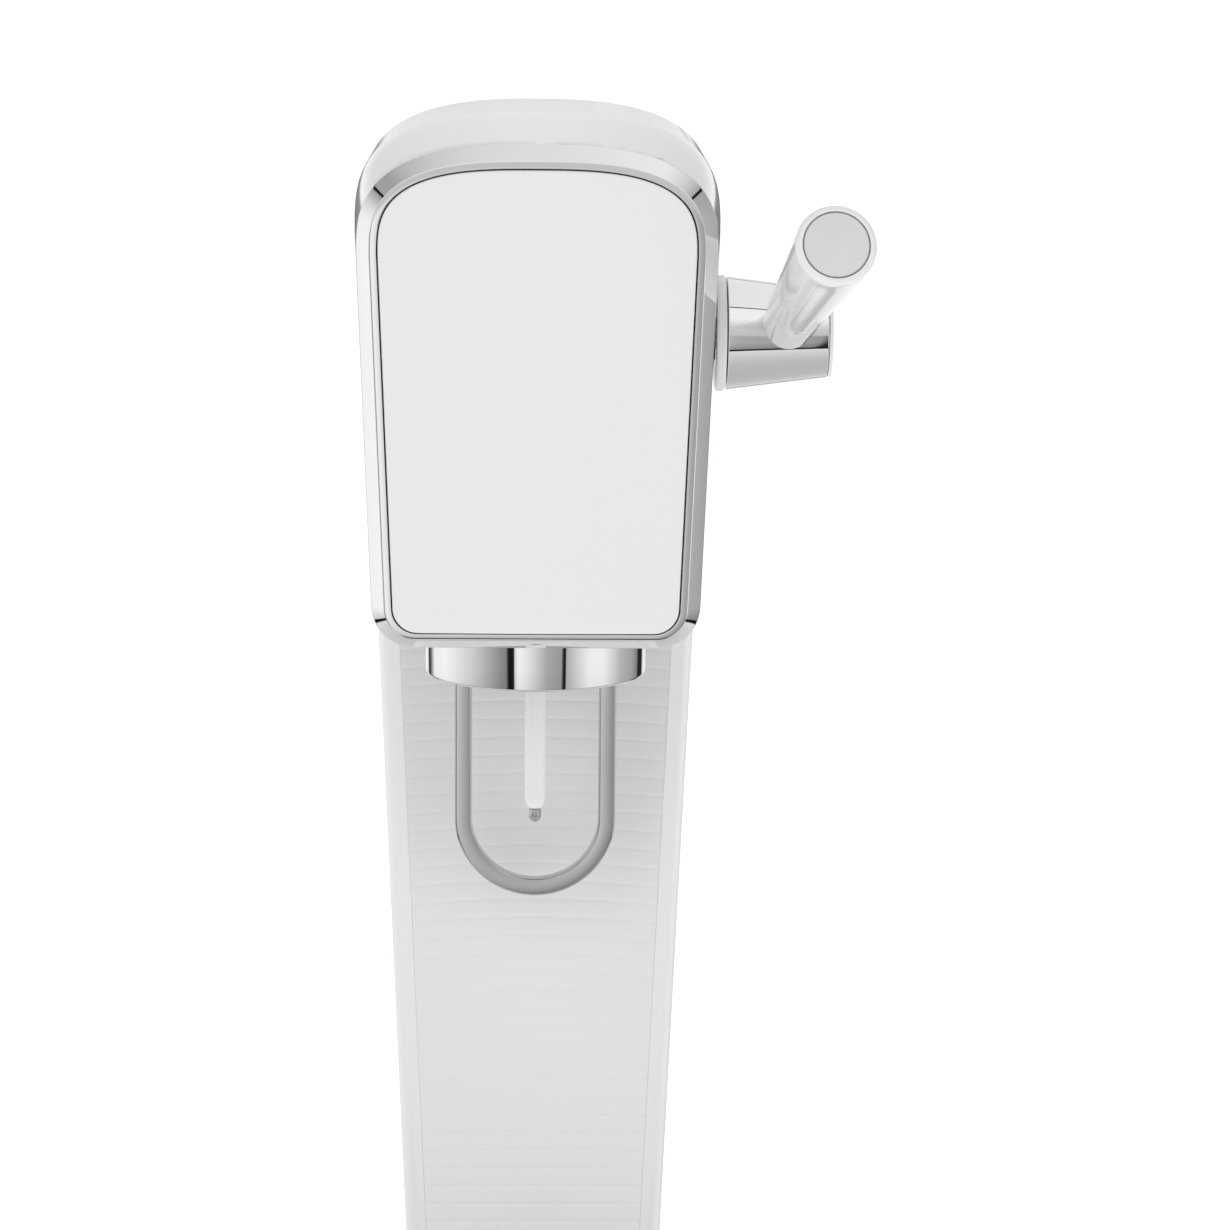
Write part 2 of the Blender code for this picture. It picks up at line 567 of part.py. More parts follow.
def make_lever(body, lever):
    axis = (0, LEVER_Y, LEVER_Z)
    at = Vector((GRIP_X, LEVER_Y, LEVER_Z))
    turn = frame_along(grip_direction())

    sides = 40
    angles = [math.tau * i / sides for i in range(sides)]

    def around(radius, x=None, off=0.0):
        points = [(LEVER_Y + radius * math.cos(a), LEVER_Z + radius * math.sin(a)) for a in angles]
        return [(half_width(z) + off if x is None else x, y, z) for y, z in points]

    face = HUB_ROOT - GAP
    bore = SHAFT_RADIUS + 2.5 * mm
    rings = [around(bore, None, GAP), around(RING_RADIUS, None, GAP), around(RING_RADIUS, face - 0.5 * mm),
             around(RING_RADIUS - 0.5 * mm, face), around(bore, face)]
    place("escutcheon_ring", loft(rings, loop=True), "gloss_white", body)

    slope = (HUB_ROOT_RADIUS - HUB_END_RADIUS) / (HUB_END - HUB_ROOT)
    cone_end = HUB_END - CAP_THICK
    cap_radius = HUB_END_RADIUS + CAP_THICK * slope
    cone = [(0, HUB_ROOT), (HUB_ROOT_RADIUS - 0.5 * mm, HUB_ROOT), (HUB_ROOT_RADIUS, HUB_ROOT + 0.6 * mm),
            (cap_radius + 0.5 * mm * slope, cone_end - 0.5 * mm), (cap_radius - 0.4 * mm, cone_end), (0, cone_end)]
    hub = place("lever_hub", lathe(cone, axis, AXES["X"], 48), "chrome", lever)
    combine(hub, rod(SHAFT_RADIUS + GAP, HUB_ROOT - 5 * mm, HUB_END - 6 * mm, axis, "X"))
    hole = lathe([(GRIP_ROOT_RADIUS + GAP, FERRULE_START - GAP), (GRIP_ROOT_RADIUS + GAP, 30 * mm)], at, turn, 32)
    combine(hub, hole)
    cap = [(0, cone_end + 0.2 * mm), (cap_radius - 0.2 * mm, cone_end + 0.2 * mm), (HUB_END_RADIUS, HUB_END - 0.4 * mm),
           (HUB_END_RADIUS - 0.4 * mm, HUB_END), (0, HUB_END)]
    place("hub_end_cap", lathe(cap, axis, AXES["X"], 40), "gloss_white", lever)

    swell = (GRIP_NEAR_RADIUS - GRIP_ROOT_RADIUS) / (GRIP_LENGTH - FERRULE_START)

    def radius_at(t):
        return GRIP_ROOT_RADIUS + swell * (t - FERRULE_START)

    ferrule = [(0, FERRULE_START), (GRIP_ROOT_RADIUS, FERRULE_START), (GRIP_ROOT_RADIUS, FERRULE_START + 8 * mm),
               (radius_at(FERRULE_END), FERRULE_END), (0, FERRULE_END)]
    place("grip_ferrule", lathe(ferrule, at, turn, 32), "gloss_white", lever)
    start = FERRULE_END + GAP
    recess = 1.6 * mm
    grip = [(0, start), (radius_at(start), start)]
    grip += [(radius_at(t), t) for t in (mix(start, GRIP_LENGTH, 0.5), GRIP_LENGTH - 1.7 * mm)]
    grip += [(GRIP_NEAR_RADIUS - 0.5 * mm, GRIP_LENGTH - 0.5 * mm), (GRIP_NEAR_RADIUS - 1.6 * mm, GRIP_LENGTH),
             (DISC_RADIUS + 0.15 * mm, GRIP_LENGTH - 0.2 * mm), (DISC_RADIUS + 0.15 * mm, GRIP_LENGTH - recess),
             (0, GRIP_LENGTH - recess)]
    place("lever_grip", lathe(grip, at, turn, 32), "gloss_white", lever)
    low = GRIP_LENGTH - recess + 0.2 * mm
    disc = [(0, low), (DISC_RADIUS - 0.15 * mm, low), (DISC_RADIUS - 0.15 * mm, GRIP_LENGTH - 0.3 * mm),
            (DISC_RADIUS - 0.5 * mm, GRIP_LENGTH), (0, GRIP_LENGTH)]
    place("grip_end_disc", lathe(disc, at, turn, 32), "brushed_silver", lever)

    place("lever_shaft", rod(SHAFT_RADIUS, SHAFT_END, HUB_END - 7 * mm, axis, "X", 24, 0.5 * mm), "satin_steel", lever)
    profile = []
    steps = 48
    for i in range(steps):
        angle = math.tau * i / steps
        rise = CAM_LIFT * min(angle, math.radians(60))
        if angle > math.radians(60):
            fade = min((angle - math.radians(60)) / math.radians(90), 1.0)
            rise *= 0.5 + 0.5 * math.cos(math.pi * fade)
        radius = CAM_RADIUS + rise
        profile.append((LEVER_Y + radius * math.sin(angle), LEVER_Z + radius * math.cos(angle)))
    cam = place("lever_cam", prism(profile, -CAM_HALF, CAM_HALF, "X"), "grey_nylon", lever)
    combine(cam, rod(SHAFT_RADIUS + GAP, -2 * CAM_HALF, 2 * CAM_HALF, axis, "X"))
    for side, name in ((-1, "left"), (1, "right")):
        mid = side * (CHEEK_IN + CHEEK_THICK / 2)
        place(f"shaft_bush_{name}", ring(SHAFT_RADIUS + GAP, SHAFT_RADIUS + 2.6 * mm, mid - 2.2 * mm, mid + 2.2 * mm,
              axis, "X", 28), "bronze", body)
    turns, wire = 3.25, 0.7 * mm
    first, last = CAM_HALF + 1.6 * mm, CHEEK_IN - 2.0 * mm
    count = int(turns * 14)
    coil = []
    for i in range(count + 1):
        angle = math.tau * turns * i / count - math.pi / 2
        radius = SHAFT_RADIUS + 1.4 * mm + wire
        coil.append((mix(first, last, i / count), LEVER_Y + radius * math.cos(angle), LEVER_Z + radius * math.sin(angle)))
    coil.append((last, coil[-1][1], LEVER_Z - 13 * mm))
    place("lever_spring", sweep(coil, round_section(wire, 6)), "satin_steel", body)


# Valve train

def make_mechanism(body, rocker, plunger):
    outer = CHEEK_IN + CHEEK_THICK
    y0, y1 = LEVER_Y - 14 * mm, ROCKER_Y + 9 * mm
    top = ROCKER_Z + 9 * mm
    frame = place("mechanism_frame", box(-outer, outer, y0, y1, FRAME_FLOOR - 3 * mm, top), "zinc_steel", body)
    combine(frame, box(-CHEEK_IN, CHEEK_IN, y0 - 5 * mm, y1 + 5 * mm, FRAME_FLOOR, top + 5 * mm))
    axis = (0, LEVER_Y, LEVER_Z)
    combine(frame, rod(SHAFT_RADIUS + 2.6 * mm + GAP, -40 * mm, 40 * mm, axis, "X", 28))
    combine(frame, rod(PIN_RADIUS + GAP, -40 * mm, 40 * mm, (0, ROCKER_Y, ROCKER_Z), "X", 16))
    for n, side in enumerate((-1, 1), 1):
        spot = (side * 9 * mm, CHASSIS_Y - 9 * mm, 0)
        combine(frame, rod(1.8 * mm, FRAME_FLOOR - 6 * mm, FRAME_FLOOR + 3 * mm, spot, sides=12))
        low = CHASSIS_TOP - 4 * mm
        screw = [(0, low), (1.4 * mm, low), (1.4 * mm, FRAME_FLOOR + 0.2 * mm), (2.8 * mm, FRAME_FLOOR + 0.2 * mm),
                 (2.8 * mm, FRAME_FLOOR + 2 * mm), (0, FRAME_FLOOR + 2 * mm)]
        place(f"frame_screw_{n}", lathe(screw, spot, sides=12), "zinc_steel", body)
    place("rocker_pin", rod(PIN_RADIUS, -outer - 2 * mm, outer + 2 * mm, (0, ROCKER_Y, ROCKER_Z), "X", 20, 0.4 * mm),
          "satin_steel", body)

    half = ROCKER_HIGH / 2
    under = ROCKER_Z - half
    rear = GAS_Y + 5 * mm
    arm = place("rocker_arm", box(-4.5 * mm, 4.5 * mm, LEVER_Y - 4 * mm, rear, under, under + ROCKER_HIGH),
                "zinc_steel", rocker)
    combine(arm, rod(NOSE_RADIUS, -4.5 * mm, 4.5 * mm, (0, LEVER_Y, NOSE_Z), "X", 20), "UNION")
    combine(arm, rod(NOSE_RADIUS, -4.5 * mm, 4.5 * mm, (0, GAS_Y, PLUNGER_TOP + RUN + NOSE_RADIUS), "X", 20), "UNION")
    combine(arm, rod(PIN_RADIUS + GAP, -20 * mm, 20 * mm, (0, ROCKER_Y, ROCKER_Z), "X", 20))

    stem = [(0, PLUNGER_LOW), (3 * mm, PLUNGER_LOW), (3 * mm, PLUNGER_TOP - 3 * mm), (6 * mm, PLUNGER_TOP - 3 * mm),
            (6 * mm, PLUNGER_TOP - 0.5 * mm), (5.5 * mm, PLUNGER_TOP), (0, PLUNGER_TOP)]
    place("valve_plunger", lathe(stem, (0, GAS_Y, 0), sides=24), "satin_steel", plunger)
    wire, turns = 0.55 * mm, 4.0
    low, high = HOUSING_TOP + GAP + wire, PLUNGER_TOP - 3 * mm - GAP - wire
    count = int(turns * 12)
    coil = []
    for i in range(count + 1):
        angle = math.tau * turns * i / count
        coil.append((4.5 * mm * math.cos(angle), GAS_Y + 4.5 * mm * math.sin(angle), mix(low, high, i / count)))
    place("plunger_spring", sweep(coil, round_section(wire, 6)), "satin_steel", body)


def make_gas(body, handle):
    at = (0, GAS_Y, 0)
    arm_low = FRAME_FLOOR + GAP
    boss_z = HOUSING_LOW + 8 * mm
    housing = place("gas_valve_housing", rod(HOUSING_RADIUS, HOUSING_LOW, HOUSING_TOP, at, sides=36, chamfer=0.8 * mm),
                    "grey_nylon", body)
    combine(housing, box(-8 * mm, 8 * mm, CHASSIS_Y + 1 * mm, GAS_Y - 8 * mm, arm_low, arm_low + 6 * mm), "UNION")
    reach = HOUSING_RADIUS + 4.6 * mm
    combine(housing, rod(4 * mm, -reach, reach, (0, GAS_Y, boss_z), "X", 20), "UNION")
    combine(housing, rod(VALVE_RADIUS + 2 * GAP, HOUSING_LOW - 5 * mm, HOUSING_TOP - 5 * mm, at, sides=28))
    combine(housing, rod(3 * mm + GAP, HOUSING_TOP - 8 * mm, HOUSING_TOP + 3 * mm, at, sides=24))

    arm_x = HOUSING_RADIUS + RUN
    long = 27 * mm
    bail = place("quick_connect_handle", rod(3.4 * mm, -arm_x - 3 * mm, arm_x + 3 * mm, (0, GAS_Y + long, boss_z), "X",
                 20, 0.5 * mm), "gloss_white", handle)
    for side in (-1, 1):
        x0, x1 = sorted((side * arm_x, side * (arm_x + 3 * mm)))
        strap = arc((GAS_Y, boss_z), 7 * mm, 90, 270, 12) + [(GAS_Y + long, boss_z - 3.2 * mm),
                                                             (GAS_Y + long, boss_z + 3.2 * mm)]
        combine(bail, prism(strap, x0, x1, "X"), "UNION")
    for side in (-1, 1):
        x0, x1 = sorted((side * (arm_x - 1 * mm), side * (arm_x + 5 * mm)))
        combine(bail, rod(4 * mm + GAP, x0, x1, (0, GAS_Y, boss_z), "X", 20))

    neck = VALVE_TOP - 22 * mm
    radius = CYLINDER_RADIUS
    low = SEAT_TOP + GAP
    dome = neck - 8 * mm
    bottle = [(0, low + 3 * mm), (radius - 12 * mm, low), (radius - 4 * mm, low), (radius - 1 * mm, low + 1.2 * mm),
              (radius, low + 4 * mm), (radius, dome - 20 * mm)]
    bottle += [(13 * mm + (radius - 13 * mm) * math.cos(t), dome - 20 * mm + 20 * mm * math.sin(t))
               for t in (math.radians(a) for a in (20, 40, 60, 75))]
    bottle += [(13 * mm, dome), (12 * mm, dome + 1 * mm), (12 * mm, neck), (0, neck)]
    place("co2_cylinder", lathe(bottle, at, sides=40), "cylinder_blue", body)
    valve = [(0, neck + GAP), (VALVE_RADIUS, neck + GAP), (VALVE_RADIUS, neck + 8 * mm),
             (VALVE_RADIUS - 1.5 * mm, neck + 9 * mm), (VALVE_RADIUS - 1.5 * mm, neck + 12 * mm),
             (VALVE_RADIUS, neck + 13 * mm), (VALVE_RADIUS, VALVE_TOP - 1 * mm), (VALVE_RADIUS - 1 * mm, VALVE_TOP),
             (2 * mm, VALVE_TOP), (2 * mm, VALVE_TOP - 6 * mm), (0, VALVE_TOP - 6 * mm)]
    place("cylinder_valve", lathe(valve, at, sides=28), "brass", body)
    place("valve_pin", rod(1.6 * mm, VALVE_TOP - 5.6 * mm, PIN_TOP, at, sides=16, chamfer=0.3 * mm), "satin_steel", body)
    seat = [(0, BASE_TOP + GAP), (radius + 2.4 * mm, BASE_TOP + GAP), (radius + 2.4 * mm, SEAT_TOP + 7 * mm),
            (radius + 0.5 * mm, SEAT_TOP + 7 * mm), (radius + 0.5 * mm, SEAT_TOP), (0, SEAT_TOP)]
    place("cylinder_seat", lathe(seat, at, sides=40), "grey_rubber", body)

    ear_z = HOLDER_Z
    wide = COLLAR_RADIUS + 7 * mm
    low = BASE_TOP + GAP
    foot_half = half_width(low) - WALL - 3.5 * mm
    knee = ear_z - 15 * mm
    sheet = [(foot_half, low), (wide, knee), (wide, CHASSIS_TOP)]
    sheet = sheet + [(-x, z) for x, z in reversed(sheet)]
    plate = place("chassis_plate", prism([(z, x) for x, z in sheet], CHASSIS_Y, CHASSIS_Y + 2.5 * mm, "Y"),
                  "zinc_steel", body)
    flange = 15 * mm
    combine(plate, box(-17 * mm, 17 * mm, CHASSIS_Y - flange, CHASSIS_Y + 1 * mm, CHASSIS_TOP - 2.5 * mm, CHASSIS_TOP),
            "UNION")
    combine(plate, box(-30 * mm, 30 * mm, COLUMN_FRONT + WALL + 1 * mm, CHASSIS_Y + 1 * mm, low, low + 2.5 * mm), "UNION")
    for side in (-1, 1):
        x0, x1 = sorted((side * (wide - 3 * mm), side * wide))
        ear = arc((HOLDER_Y, ear_z), 7 * mm, 90, 270, 12) + [(CHASSIS_Y + 1 * mm, ear_z - 7 * mm),
                                                            (CHASSIS_Y + 1 * mm, ear_z + 7 * mm)]
        combine(plate, prism(ear, x0, x1, "X"), "UNION")
    combine(plate, rod(PIN_RADIUS + GAP, -60 * mm, 60 * mm, (0, HOLDER_Y, ear_z), "X", 16))
    for n, side in enumerate((-1, 1), 1):
        spot = (side * 9 * mm, CHASSIS_Y - 9 * mm, 0)
        combine(plate, rod(1.7 * mm, CHASSIS_TOP - 6 * mm, CHASSIS_TOP + 3 * mm, spot, sides=12))
        spot = (side * 20 * mm, COLUMN_FRONT + 9 * mm, 0)
        combine(plate, rod(1.7 * mm, low - 3 * mm, low + 6 * mm, spot, sides=12))
        under = BASE_TOP - WALL - GAP
        screw = [(0, under - 2 * mm), (3 * mm, under - 2 * mm), (3 * mm, under), (1.4 * mm, under),
                 (1.4 * mm, low + 5 * mm), (0, low + 5.5 * mm)]
        place(f"chassis_screw_{n}", lathe(screw, spot, sides=12), "zinc_steel", body)


def make_hose(body):
    height = FRAME_FLOOR + 3.6 * mm
    head = HOLDER_Z + 13 * mm
    ends = [(8.6 * mm, GAS_Y - 20 * mm, height), (18 * mm, GAS_Y - 20 * mm, height), (25 * mm, GAS_Y - 26 * mm, height),
            (27 * mm, ROCKER_Y - 4 * mm, height - 1 * mm), (27 * mm, LEVER_Y + 12 * mm, mix(height, head, 0.3)),
            (26 * mm, LEVER_Y - 4 * mm, mix(height, head, 0.8)), (22 * mm, 12 * mm, head), (14.8 * mm, 5 * mm, head)]
    path = smooth_path([Vector(p) for p in ends], 4)
    place("gas_hose", sweep(path, round_section(2.4 * mm, 10)), "clear_white", body)


def smooth_path(points, steps):
    """A Catmull-Rom curve through the points."""
    ends = [2 * points[0] - points[1]] + points + [2 * points[-1] - points[-2]]
    path = []
    for a, b, c, d in zip(ends, ends[1:], ends[2:], ends[3:]):
        for i in range(steps):
            t = i / steps
            path.append(0.5 * (2 * b + (c - a) * t + (2 * a - 5 * b + 4 * c - d) * t**2 + (3 * b - a - 3 * c + d) * t**3))
    return path + [points[-1]]


# Bottle holder

def make_holder(body, holder, jaws):
    low = HEAD_BOTTOM - COLLAR_DROP
    step = HEAD_BOTTOM + 4.4 * mm
    inner = COLLAR_RADIUS - 6 * mm
    collar = [(inner, low + 0.5 * mm), (inner + 0.5 * mm, low), (COLLAR_RADIUS - 0.8 * mm, low),
              (COLLAR_RADIUS, low + 0.8 * mm), (COLLAR_RADIUS, step), (inner, step)]
    place("lock_collar", lathe(collar, sides=56, hollow=True), "chrome", holder)

    top = HOLDER_Z + 2 * mm
    bore = COLLAR_RADIUS - 12 * mm
    cup = place("bottle_holder", rod(inner - GAP, low + 1.5 * mm, top, sides=48), "matt_white", holder)
    combine(cup, rod(COLLAR_RADIUS, step + GAP, top, sides=48), "UNION")
    wide = COLLAR_RADIUS + 3.5 * mm
    tab = LOOP_Y - LOOP_DEEP / 2 - GAP
    combine(cup, box(-wide, wide, HOLDER_Y - 7 * mm, tab, top - 6 * mm, top), "UNION")
    for side in (-1, 1):
        x0, x1 = sorted((side * (wide - 3 * mm), side * wide))
        combine(cup, rod(6 * mm, x0, x1, (0, HOLDER_Y, HOLDER_Z), "X", 20), "UNION")
    combine(cup, rod(bore, low - 5 * mm, top - 5 * mm, sides=40))
    combine(cup, rod(8 * mm, top - 8 * mm, top + 3 * mm, sides=24))
    slot = 3.2 * mm
    jaw_z = low + 7 * mm
    combine(cup, box(-COLLAR_RADIUS, COLLAR_RADIUS, -5 * mm - RUN, 5 * mm + RUN, jaw_z - slot, jaw_z + slot))
    combine(cup, rod(PIN_RADIUS + GAP, -60 * mm, 60 * mm, (0, HOLDER_Y, HOLDER_Z), "X", 16))
    for side, name in ((-1, "left"), (1, "right")):
        x0, x1 = sorted((side * (wide - 2.6 * mm), side * (wide + 5 * mm)))
        place(f"holder_pin_{name}", rod(PIN_RADIUS, x0, x1, (0, HOLDER_Y, HOLDER_Z), "X", 16, 0.3 * mm),
              "satin_steel", body)

    for side, name in ((-1, "left"), (1, "right")):
        outer, within = bore - 3.6 * mm, bore - 6.6 * mm
        mid = 180 if side < 0 else 0
        curve = arc((0, 0), outer, mid - 58, mid + 58, 12) + arc((0, 0), within, mid + 58, mid - 58, 12)
        jaw = place(f"bottle_jaw_{name}", prism(curve, jaw_z - 2.5 * mm, jaw_z + 2.5 * mm), "satin_steel", jaws[name])
        x0, x1 = sorted((side * (outer - 1 * mm), side * (bore + 2 * mm)))
        combine(jaw, box(x0, x1, -5 * mm, 5 * mm, jaw_z - 2.5 * mm, jaw_z + 2.5 * mm), "UNION")

    head = [(0, top + GAP), (14 * mm, top + GAP), (14 * mm, top + 15 * mm), (12.5 * mm, top + 17 * mm),
            (6 * mm, top + 20 * mm), (0, top + 20 * mm)]
    place("carbonating_head", lathe(head, sides=36), "matt_white", holder)
    rim = bore - 4.5 * mm
    seal = [(8.6 * mm, top - 9 * mm), (rim - 0.5 * mm, top - 9 * mm), (rim, top - 7 * mm),
            (rim - 0.5 * mm, top - 5 * mm - GAP), (8.6 * mm, top - 5 * mm - GAP)]
    place("bottle_seal", lathe(seal, sides=36, hollow=True), "grey_rubber", holder)
    shoulder, end = HEAD_BOTTOM - NOZZLE_DROP, HEAD_BOTTOM - TIP_DROP
    radius = NOZZLE_RADIUS
    tube = [(0, top - GAP), (radius, top - GAP), (radius, shoulder), (radius * 0.92, shoulder - 1.2 * mm),
            (radius * 0.76, shoulder - 2.4 * mm), (radius * 0.62, end + 4.4 * mm), (0, end + 4.4 * mm)]
    place("nozzle_tube", lathe(tube, sides=24), "clear_white", holder)
    tip = [(0, end + 4.1 * mm), (1.9 * mm, end + 4.1 * mm), (1.9 * mm, end + 1.4 * mm), (1.2 * mm, end + 0.3 * mm),
           (0, end)]
    place("nozzle_tip", lathe(tip, sides=20), "satin_steel", holder)

    half, deep = LOOP_WIDE / 2, LOOP_DEEP / 2
    bevel = 0.6 * mm
    bar = [(half, deep - bevel), (half - bevel, deep), (bevel - half, deep), (-half, deep - bevel),
           (-half, bevel - deep), (bevel - half, -deep), (half - bevel, -deep), (half, bevel - deep)]
    centre = HEAD_BOTTOM - LOOP_DROP
    down = [(-LOOP_HALF, top), (-LOOP_HALF, mix(top, centre, 0.5))]
    path = down + arc((0, centre), LOOP_HALF, 180, 360, 24) + [(-x, z) for x, z in reversed(down)]
    place("rear_loop", sweep([(x, LOOP_Y, z) for x, z in path], bar), "chrome", holder)

    place("relief_valve", fitting(top + 8 * mm, -62), "brass", holder)
    place("exhaust_valve", fitting(top + 8 * mm, 200), "brass", holder)


def fitting(height, heading):
    """A small stepped valve on the side of the carbonating head."""
    angle = math.radians(heading)
    turn = frame_along((math.cos(angle), math.sin(angle), 0))
    profile = [(0, 14.3 * mm), (3 * mm, 14.3 * mm), (3 * mm, 17 * mm), (4.2 * mm, 17 * mm), (4.2 * mm, 23 * mm),
               (3.4 * mm, 24 * mm), (0, 24 * mm)]
    return lathe(profile, (0, 0, height), turn, 16)


# Assembly

def main():
    root = group("soda_carbonator_root")
    body = group("casing", root)
    cover = group("rear_cover_pull", root, (0, SEAM_Y, HEAD_BOTTOM))
    lever = group("lever_pull", root, (0, LEVER_Y, LEVER_Z))
    rocker = group("rocker_turn", root, (0, ROCKER_Y, ROCKER_Z))
    plunger = group("plunger_slide", root, (0, GAS_Y, PLUNGER_TOP))
    handle = group("connect_turn", root, (0, GAS_Y, HOUSING_LOW + 8 * mm))
    holder = group("holder_tilt", root, (0, HOLDER_Y, HOLDER_Z))
    tray = group("tray_lift", root, (0, 0, BASE_TOP))
    jaw_z = HEAD_BOTTOM - COLLAR_DROP + 7 * mm
    jaws = {name: group(f"jaw_{name}_slide", holder, (side * 20 * mm, 0, jaw_z)) for side, name in
            ((-1, "left"), (1, "right"))}
    make_body_shell(body)
    make_rear_cover(cover)
    make_front(body)
    make_column_front(body)
    make_base(body, tray)
    make_lever(body, lever)
    make_mechanism(body, rocker, plunger)
    make_gas(body, handle)
    make_hose(body)
    make_holder(body, holder, jaws)

    bpy.context.view_layer.update()
    graph = bpy.context.evaluated_depsgraph_get()
    corners = [obj.matrix_world @ Vector(c) for obj in PARTS.objects if obj.type == "MESH"
               for c in obj.evaluated_get(graph).bound_box]
    low = [min(c[i] for c in corners) for i in range(3)]
    high = [max(c[i] for c in corners) for i in range(3)]
    root.location = (-(low[0] + high[0]) / 2, -(low[1] + high[1]) / 2, -low[2])
    bpy.context.view_layer.update()


main()
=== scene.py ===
import json
import math

import bmesh
import bpy
from mathutils import Matrix, Quaternion, Vector


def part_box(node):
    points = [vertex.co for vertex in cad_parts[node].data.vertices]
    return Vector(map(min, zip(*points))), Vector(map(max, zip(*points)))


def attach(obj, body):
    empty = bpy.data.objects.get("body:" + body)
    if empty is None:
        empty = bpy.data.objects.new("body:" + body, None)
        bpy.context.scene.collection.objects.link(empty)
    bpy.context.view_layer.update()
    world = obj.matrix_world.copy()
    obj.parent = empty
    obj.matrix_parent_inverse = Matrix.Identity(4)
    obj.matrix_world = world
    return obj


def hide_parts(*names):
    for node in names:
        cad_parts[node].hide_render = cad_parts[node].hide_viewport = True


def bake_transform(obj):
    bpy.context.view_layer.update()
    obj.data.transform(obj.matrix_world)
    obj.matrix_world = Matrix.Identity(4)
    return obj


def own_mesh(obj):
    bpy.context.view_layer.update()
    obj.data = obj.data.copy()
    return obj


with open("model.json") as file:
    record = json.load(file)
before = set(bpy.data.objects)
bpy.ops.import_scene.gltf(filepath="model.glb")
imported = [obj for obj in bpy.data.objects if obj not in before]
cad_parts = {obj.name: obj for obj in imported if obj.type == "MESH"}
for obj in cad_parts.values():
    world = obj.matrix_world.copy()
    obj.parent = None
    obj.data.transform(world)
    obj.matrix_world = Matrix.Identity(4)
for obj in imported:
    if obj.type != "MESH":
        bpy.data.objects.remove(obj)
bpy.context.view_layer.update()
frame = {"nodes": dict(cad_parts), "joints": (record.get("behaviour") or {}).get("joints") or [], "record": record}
mm = 0.001

# Places taken from the frame

shellLow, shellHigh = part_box("body_shell")
coverLow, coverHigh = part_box("rear_cover")
collarLow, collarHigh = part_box("lock_collar")
baseLow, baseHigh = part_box("base_shell")
axisX = (collarLow.x + collarHigh.x) / 2  # the bottle's axis
axisY = (collarLow.y + collarHigh.y) / 2
joints = {joint["name"]: joint for joint in frame["joints"]}
leverAt = Vector(joints["lever_pull"]["pos_m"])
holderAt = Vector(joints["holder_tilt"]["pos_m"])


def mix(a, b, share):
    return a + (b - a) * share


def arc(centre, radius, start, end, steps):
    turns = [math.radians(start + (end - start) * i / steps) for i in range(steps + 1)]
    return [(centre[0] + radius * math.cos(t), centre[1] + radius * math.sin(t)) for t in turns]


# Making meshes

def addPiece(name, shape, look, body, replaces=(), sharp=32, at=None):
    bmesh.ops.recalc_face_normals(shape, faces=shape.faces)
    mesh = bpy.data.meshes.new(name)
    shape.to_mesh(mesh)
    shape.free()
    mesh.materials.append(look)
    mesh.shade_smooth()
    mesh.set_sharp_from_angle(angle=math.radians(sharp))
    piece = bpy.data.objects.new(name, mesh)
    bpy.context.scene.collection.objects.link(piece)
    if at is not None:
        piece.matrix_world = at
    if body:
        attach(piece, body)
    if replaces:
        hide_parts(*replaces)
    return piece


def loft(rings, loop=False, caps=True):
    shape = bmesh.new()
    rows = [[shape.verts.new(point) for point in ring] for ring in rings]
    for low, high in list(zip(rows, rows[1:])) + ([(rows[-1], rows[0])] if loop else []):
        for i in range(len(low)):
            j = (i + 1) % len(low)
            shape.faces.new((low[i], low[j], high[j], high[i]))
    if caps and not loop:
        shape.faces.new(rows[0][::-1])
        shape.faces.new(rows[-1])
    return shape


def lathe(profile, sides=96, hollow=False):
    shape = bmesh.new()
    rows = []
    for radius, height in profile:
        if radius < 1e-7:
            rows.append([shape.verts.new((0, 0, height))])
        else:
            turns = [math.tau * i / sides for i in range(sides)]
            rows.append([shape.verts.new((radius * math.cos(turn), radius * math.sin(turn), height))
                         for turn in turns])
    for low, high in list(zip(rows, rows[1:])) + ([(rows[-1], rows[0])] if hollow else []):
        for i in range(sides):
            j = (i + 1) % sides
            ring = [low[i % len(low)], low[j % len(low)], high[j % len(high)], high[i % len(high)]]
            shape.faces.new([v for n, v in enumerate(ring) if v not in ring[:n]])
    return shape


def rounded(points, radius, steps=3):
    made = []
    count = len(points)
    for i, point in enumerate(points):
        here = Vector(point)
        if i in (0, count - 1) and here.x < 1e-7:
            made.append(tuple(here))
            continue
        before, after = Vector(points[i - 1]), Vector(points[(i + 1) % count])
        back, ahead = before - here, after - here
        wanted = radius[i] if isinstance(radius, list) else radius
        reach = min(wanted, back.length * 0.45, ahead.length * 0.45)
        if back.length < 1e-9 or ahead.length < 1e-9 or abs(back.angle(ahead) - math.pi) < 0.12:
            made.append(tuple(here))
            continue
        start, end = here + back.normalized() * reach, here + ahead.normalized() * reach
        for n in range(steps + 1):
            t = n / steps
            made.append(tuple((1 - t) ** 2 * start + 2 * t * (1 - t) * here + t * t * end))
    return made


def sweep(path, section, side):
    path = [Vector(point) for point in path]
    tangents = [(path[min(i + 1, len(path) - 1)] - path[max(i - 1, 0)]).normalized()
                for i in range(len(path))]
    side = (side - side.dot(tangents[0]) * tangents[0]).normalized()
    rings = []
    for i, point in enumerate(path):
        if i:
            side = tangents[i - 1].rotation_difference(tangents[i]) @ side
        up = tangents[i].cross(side)
        rings.append([point + a * side + b * up for a, b in section])
    return loft(rings)


